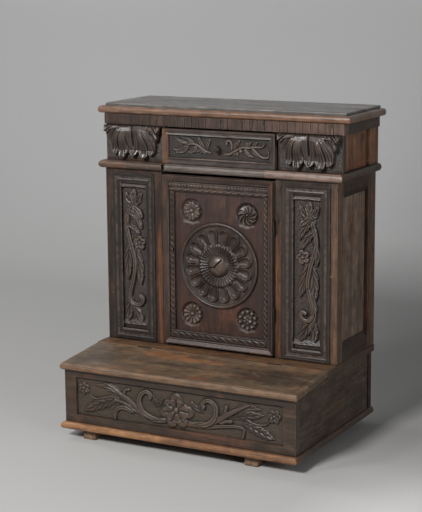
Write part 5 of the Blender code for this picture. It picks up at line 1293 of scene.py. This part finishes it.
# x, z and strength of the painted highlight on the lower wall of each of the door's dishes
DISHES = ((-0.0848, 0.614, 0.55), (0.0862, 0.614, 0.6), (-0.0848, 0.3235, 0.3), (0.0862, 0.3235, 0.3))
BOARDS = {
    # the top's tones are paler and greyer than its wood: painted sheen and painted light on the upward face
    "top_board": Walnut("top_walnut", ACROSS, "625d59 807c79 94908d 624e40", gloss=0.36, patch_share=0.3, mottle=0.15,
        bands=(Band(1, 0.02, 0.012, NOSE, 0.95, 0.3), Band(0, 0.37, 0.38, NOSE, 0.8, 0.4),
        Band(0, -0.37, -0.38, NOSE, 0.8, 0.4))),
    # the lid's tones are lightened by painted light on its upward face
    "lid": Walnut("lid_walnut", ACROSS, "4c3d2f 725e49 8a735a 906846", patch_share=0.25, gloss=0.44, mottle=0.5,
        shift=(3.1, 0.4, 2.2), figure=20, worn="967a62", wear=0.6,
        spots=(Spot((-0.1, -0.098, 0.226), (0.12, 0.035, 0.015), RUST, 0.55),
        Spot((0.02, -0.108, 0.225), (0.07, 0.022, 0.015), RUST, 0.45),
        Spot((0.187, -0.18, 0.219), (0.045, 0.012, 0.015), "80442e", 0.6),
        Spot((0.057, -0.229, 0.215), (0.05, 0.014, 0.015), "80442e", 0.5),
        Spot((0.245, -0.16, 0.221), (0.12, 0.07, 0.016), SOOT, 0.65),
        Spot((-0.27, -0.15, 0.222), (0.08, 0.06, 0.016), SOOT, 0.35),
        Spot((-0.186, -0.064, 0.229), (0.04, 0.004, 0.012), "a8947a", 0.5),
        Spot((0.222, -0.064, 0.229), (0.05, 0.004, 0.012), "a8947a", 0.6),
        Spot((0.3385, -0.155, 0.222), (0.0016, 0.12, 0.016), SOOT, 0.85, 0.1)),
        bands=(Band(1, -0.244, -0.252, "7c5e46", 0.9, 0.45), Band(0, -0.345, -0.353, "7c5e46", 0.6))),
    "step_board": Walnut("step_walnut", ACROSS, "3c2b1e 6c5038 866648 8c5e3a", patch_share=0.45, gloss=0.5, sheen=0.3,
        mottle=0.4, shift=(1.3, 0.2, 0), bands=(Band(0, 0.35, 0.356, "463a31", 0.8, 0.3),)),
    "base_board": Walnut("base_walnut", ACROSS, "483324 6a4e38 826147 8a5838", patch_share=0.4,
        bands=(Band(1, -0.24, -0.25, "926646", 0.85, 0.5),
        Band(0, 0.348, 0.353, "483e35", 0.85, 0.3, (1, -0.235, -0.2))), gloss=0.48, worn="a8805c", wear=0.6,
        spots=(Spot((-0.2, -0.259, 0.037), (0.2, 0.02, 0.03), "b08056", 0.55),), sheen=0.4),
    "foot_batten_left foot_batten_right": Walnut("foot_walnut", DEEP, "5c4634 8a6e56 a28468", gloss=0.6, sheen=0.3),
    "chest_front": Walnut("chest_walnut", ACROSS, "2a2019 423429 5a4839 68422c", patch_share=0.4, mottle=0.3),
    "chest_side_left chest_side_right": Walnut("chest_side_walnut", DEEP, "2c241d 4c3f34 685849 624a38",
        patch_share=0.4, gloss=0.52, sheen=0.28, mottle=0.4, cracks=0.8),
    "door_board": Walnut("door_walnut", UP, "2c1c17 3f2a22 50362b 623a28", patch_share=0.34, gloss=0.36, figure=44,
        # painted highlight on each dish's lower wall, where the light falls, with some rubbed wear
        worm=0.7, spots=tuple((Spot((x + aside, 0.004, z - down), (0.0125, 0.012, 0.0052), "887d73", share, 0.2)
        for x, z, share in DISHES
        for aside, down in ((-0.015, 0.0298), (0.0, 0.0335), (0.015, 0.0298)))),
        bands=(Band(2, 0.5, 0.66, "463937", 0.35, 0.3),)),
    "door_moulding": Walnut("door_moulding_walnut", ACROSS, "2c201b 403028 544035 68422e", patch_share=0.4,
        gloss=0.36, figure=60, frame_box=(0.00075, 0.4735, 0.15, 0.22)),
    "cupboard_rear_stile_left cupboard_rear_stile_right": Walnut("rear_stile_walnut", UP,
        "382920 5a4335 765a48 845436", patch_share=0.45, sheen=0.3, cracks=0.9),
    # the side panels' tones are lightened, partly paler wood and partly painted light standing in for the dim fill on
    # the sides
    "side_panel_left side_panel_right": Walnut("side_panel_walnut", UP, "463930 826f61 9e8877 7e563c", figure=40,
        sheen=0.22, cracks=0.9, mottle=0.3, shift=(0, 2, 1),
        spots=(Spot((0, 0.15, 0.38), (0.5, 0.05, 0.11), "3a322c", 0.6),
        Spot((0, 0.1, 0.6), (0.5, 0.03, 0.09), "744a32", 0.5))),
    "side_bottom_rail_left side_bottom_rail_right side_top_rail_left side_top_rail_right": Walnut("side_rail_walnut",
        DEEP, "261b15 3c2c22 543e30", patch_share=0.3, sheen=0.32),
    "shelf_board": Walnut("shelf_walnut", ACROSS, "2e241e 48382e 604a3c 8c5c3c", patch_share=0.45),
    "torus_left": Walnut("torus_walnut_left", ACROSS, "382a22 523f34 6a5346 865a42", patch_share=0.45, gloss=0.38),
    "torus_right": Walnut("torus_walnut_right", ACROSS, "645046 907a6e a69082 a0725a", gloss=0.38),
    "torus_centre": Walnut("torus_walnut_centre", ACROSS, "483f3a 6c615a 82766e 846e60", gloss=0.36),
    "corbel_ground_left corbel_ground_right": Walnut("corbel_ground_walnut", UP, "261b15 3c2c22 543e30 6c4838",
        patch_share=0.5),
    # the stage sides' tones are lightened, partly paler wood and partly painted light standing in for the dim fill on
    # the sides
    "stage_side_left stage_side_right": Walnut("stage_side_walnut", UP, "462f21 885e44 a07658 985e3c", figure=46,
        sheen=0.22, cracks=0.9, mottle=0.3),
    "frieze_front": Walnut("frieze_walnut", UP, "2e221c 44332b 5a453b 3e2e26", patch_share=0.4, cracks=0.9,
        bands=(Band(0, 0.02, 0.3, "765a4c", 0.65),)),
    "frieze_left frieze_right": Walnut("frieze_side_walnut", DEEP, "261b15 3c2c22 543e30", sheen=0.32),
    "drawer_front": Walnut("drawer_walnut", ACROSS, "261b15 3c2c22 543e30"),
    "drawer_moulding": Walnut("drawer_moulding_walnut", ACROSS, "302824 4a403b 60544d 644c3e", gloss=0.36,
        # painted highlights: thin pale lines along the bevels of the moulding's lower and upper members
        spots=(Spot((0, 0, 0.7585), (0.157, 0.05, 0.0024), "968a80", 0.6, 0.2),
        Spot((0, 0, 0.8295), (0.16, 0.05, 0.0018), "80726a", 0.5, 0.2)), figure=60, frame_box=(0.0, 0.79, 0.154,
        0.03), bands=(Band(0, -0.15, -0.156, "82563a", 0.7, 0.6),)),
    "drawer_knob": Walnut("knob_walnut", DEEP, "281f1a 3c3029 54453b", gloss=0.24, relief=0.15),
    "cupboard_back_board chest_back_board stage_back_board": Walnut("back_walnut", ACROSS, "28201a 40342b 58493c",
        gloss=0.6, sheen=0.25, cracks=0.9),
    "drawer_side_left drawer_side_right drawer_back drawer_bottom": Walnut("raw_wood", ACROSS,
        "584432 786048 92785c 604a38", gloss=0.62, relief=0.5),
    "pilaster_board_left": Walnut("pilaster_walnut_left", UP, "241c17 382d26 4c3d33 604230", patch_share=0.3,
        worm=0.8, sheen=0.35, cracks=0.9, mottle=0.3,
        bands=(Band(0, -0.194, -0.186, "845232", 0.7, 0.9, (2, 0.62, 0.5)),)),
    "pilaster_board_right": Walnut("pilaster_walnut_right", UP, "241c17 382d26 4c3d33 604230", patch_share=0.3,
        worm=0.8, sheen=0.35, cracks=0.9, mottle=0.3,
        bands=(Band(0, 0.193, 0.186, "845232", 0.7, 0.9, (2, 0.62, 0.5)), Band(0, 0.334, 0.342, "86664e", 0.6, 0.7))),
    "pilaster_moulding_left": Walnut("pilaster_moulding_walnut_left", ACROSS, "191513 241f1c 342d29 3c2e26",
        patch_share=0.35, gloss=0.36, figure=60, frame_box=(-0.26625, 0.471, 0.0398, 0.209)),
    "pilaster_moulding_right": Walnut("pilaster_moulding_walnut_right", ACROSS, "1e1714 2e241f 40322b 3c2e26",
        patch_share=0.35, gloss=0.36, figure=60, frame_box=(0.26625, 0.471, 0.0398, 0.209)),
    "corbel_left corbel_right door_patera": Walnut("plain_walnut", UP, "261b15 3c2c22 543e30"),
}


@dataclass
class Boards:
    """Finishes of the frame's own boards, mouldings and fittings."""
    wardrobe: Wardrobe

    def build(self) -> None:
        """Dresses every node of the frame: hinges, locks and staple in iron, the others from the table."""
        for nodes, finish in BOARDS.items():
            self.wardrobe.dress(nodes, finish)
        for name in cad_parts:
            if "hinge" in name or "lock" in name or "staple" in name:
                self.wardrobe.dress(name, Iron())


# Room

@dataclass
class Studio:
    """The pale floor and backdrop, the soft lamps and the camera."""
    grey: str = "b7b6b4"
    # painted shade on the floor behind the stool
    behind: str = "a9a8a6"
    wall: str = "a9a9a9"
    painted_shadow: str = "70706f"  # painted shadow, low on the right behind the stool
    half_width: float = 6.0
    near: float = -4.5
    turn: float = 1.35      # where the floor starts to rise behind
    bend: float = 1.0       # radius of the rise
    top: float = 5.0

    def paper(self) -> bpy.types.Material:
        """Grey paper with painted shade behind, beside and left of the stool, a painted shadow low on the right
        behind it and painted light at its front right, in wide soft areas; clear from behind, so that rear views look
        through it.
        """
        tree = Tree("studio_grey")
        x, y, z = tree.axes()
        cloudy = tree.noise(tree.mapped((0.6, 0.6, 0.6)), 2)
        paper = tree.ramp(cloudy, ((0.3, tuple(0.96 * c for c in linear(self.grey))), (0.7, self.grey)))
        # painted shade, growing towards the left
        paper = tree.lay(paper, "787776", x, -1.2, 1.2, 0.16, 0.0)
        # painted light on the floor at the front right of the stool
        near = tree.times(tree.level(x, 0.42, 0.66), tree.level(y, 0.10, -0.25))
        paper = tree.mix(near, paper, "cecdcb")
        # painted contact shadow on the floor just right of the stool
        contact_shadow = tree.times(tree.level(x, 0.30, 0.42, 0.0, 0.5), tree.level(y, -0.15, 0.20))
        # painted shade behind the stool
        paper = tree.mix(tree.level(y, -0.4, 0.15), paper, self.behind)
        risen = tree.level(y, self.turn - 0.9, self.turn + self.bend)
        paper = tree.mix(risen, tree.mix(contact_shadow, paper, "888786"), self.wall)
        # painted shadow, low on the right behind the stool
        low = tree.times(tree.level(z, 1.1, 0.3), tree.level(y, 0.0, 1.3))
        low = tree.times(low, tree.level(x, -0.5, 0.5, 0.0, 0.8))
        tree.fill(tree.shader, {"Base Color": tree.mix(low, paper, self.painted_shadow), "Roughness": 0.9,
                                "Specular IOR Level": 0.2})
        sides = tree.node("MixShader", {0: tree.node("NewGeometry", {}).outputs["Backfacing"],
                                        1: tree.shader.outputs[0],
                                        2: tree.node("BsdfTransparent", {}).outputs[0]})
        tree.put(tree.output.inputs["Surface"], sides.outputs[0])
        return tree.material

    def sweep(self) -> None:
        """Builds the floor, its round rise and the backdrop as one surface: a profile carried sideways."""
        angles = np.linspace(0, math.pi / 2, 24)
        y = np.concatenate(([self.near], self.turn + self.bend * np.sin(angles), [self.turn + self.bend]))
        z = np.concatenate(([0.0], self.bend * (1 - np.cos(angles)), [self.top]))
        points = [(x, *place) for place in zip(y.tolist(), z.tolist()) for x in (-self.half_width, self.half_width)]
        mesh = bpy.data.meshes.new("studio_sweep")
        mesh.from_pydata(points, [], grid_quads(len(y), 2).tolist())
        mesh.polygons.foreach_set("use_smooth", np.ones(len(mesh.polygons), dtype=bool))
        mesh.materials.append(self.paper())
        floor = bpy.data.objects.new("studio_sweep", mesh)
        bpy.context.scene.collection.objects.link(floor)
        floor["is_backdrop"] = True

    @staticmethod
    def lamp(name: str, place: Sequence[float], size: float, power: float,
             aim: Sequence[float] = (0, 0, 0.4)) -> None:
        """Hangs a soft square lamp that faces a point.

        Args:
            name: the lamp's name.
            place: where it hangs.
            size: length of its sides.
            power: watts.
            aim: the point it faces.
        """
        data = bpy.data.lights.new(name, "AREA")
        data.shape, data.size, data.energy = "SQUARE", size, power
        light = bpy.data.objects.new(name, data)
        light.location = place
        light.rotation_euler = (Vector(place) - Vector(aim)).to_track_quat("Z", "Y").to_euler()
        bpy.context.scene.collection.objects.link(light)

    @staticmethod
    def camera() -> None:
        """Sets the camera at the picture's own viewpoint; the three vectors are its axes."""
        right, up = Vector((0.88192155, 0.47133199, -0.00777994)), Vector((-0.08473779, 0.1747471, 0.98096022))
        back = Vector((0.46371746, -0.86447071, 0.19405287))
        data = bpy.data.cameras.new("picture_camera")
        data.lens, data.sensor_width = 107.2, 36.0
        camera = bpy.data.objects.new("picture_camera", data)
        turn = Matrix((right, up, back)).transposed()
        camera.matrix_world = Matrix.Translation((1.9171, -3.6148, 1.3054)) @ turn.to_4x4()
        bpy.context.scene.collection.objects.link(camera)
        bpy.context.scene.camera = camera

    def build(self) -> None:
        """Builds the room."""
        self.sweep()
        self.camera()
        self.lamp("key", (-0.35, -3.5, 2.9), 0.8, 170)
        self.lamp("slant", (-1.9, -2.9, 3.0), 0.6, 32)
        self.lamp("fill", (3.4, -1.7, 1.1), 1.2, 38)
        self.lamp("backdrop", (-2.7, 0.3, 2.7), 1.2, 36, (-1.3, 2.3, 1.3))
        world = bpy.data.worlds.new("studio_air")
        bpy.context.scene.world = world
        world.use_nodes = True
        air = world.node_tree.nodes["Background"].inputs
        air["Color"].default_value, air["Strength"].default_value = (0.86, 0.88, 0.92, 1.0), 0.08
        bpy.context.scene.view_settings.view_transform = "Standard"


def main() -> None:
    """Builds the room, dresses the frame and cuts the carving."""
    logging.basicConfig(level=logging.INFO, format="%(message)s")
    Studio().build()
    wardrobe = Wardrobe()
    Boards(wardrobe).build()
    for part in (ChestCarving, PilasterCarving, DoorCarving, DrawerCarving, Corbels, Pegs):
        part(wardrobe).build()
    low_high = [[list(corner) for corner in box] for box in (CAD_BOX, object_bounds())]


if __name__ == "__main__":
    main()
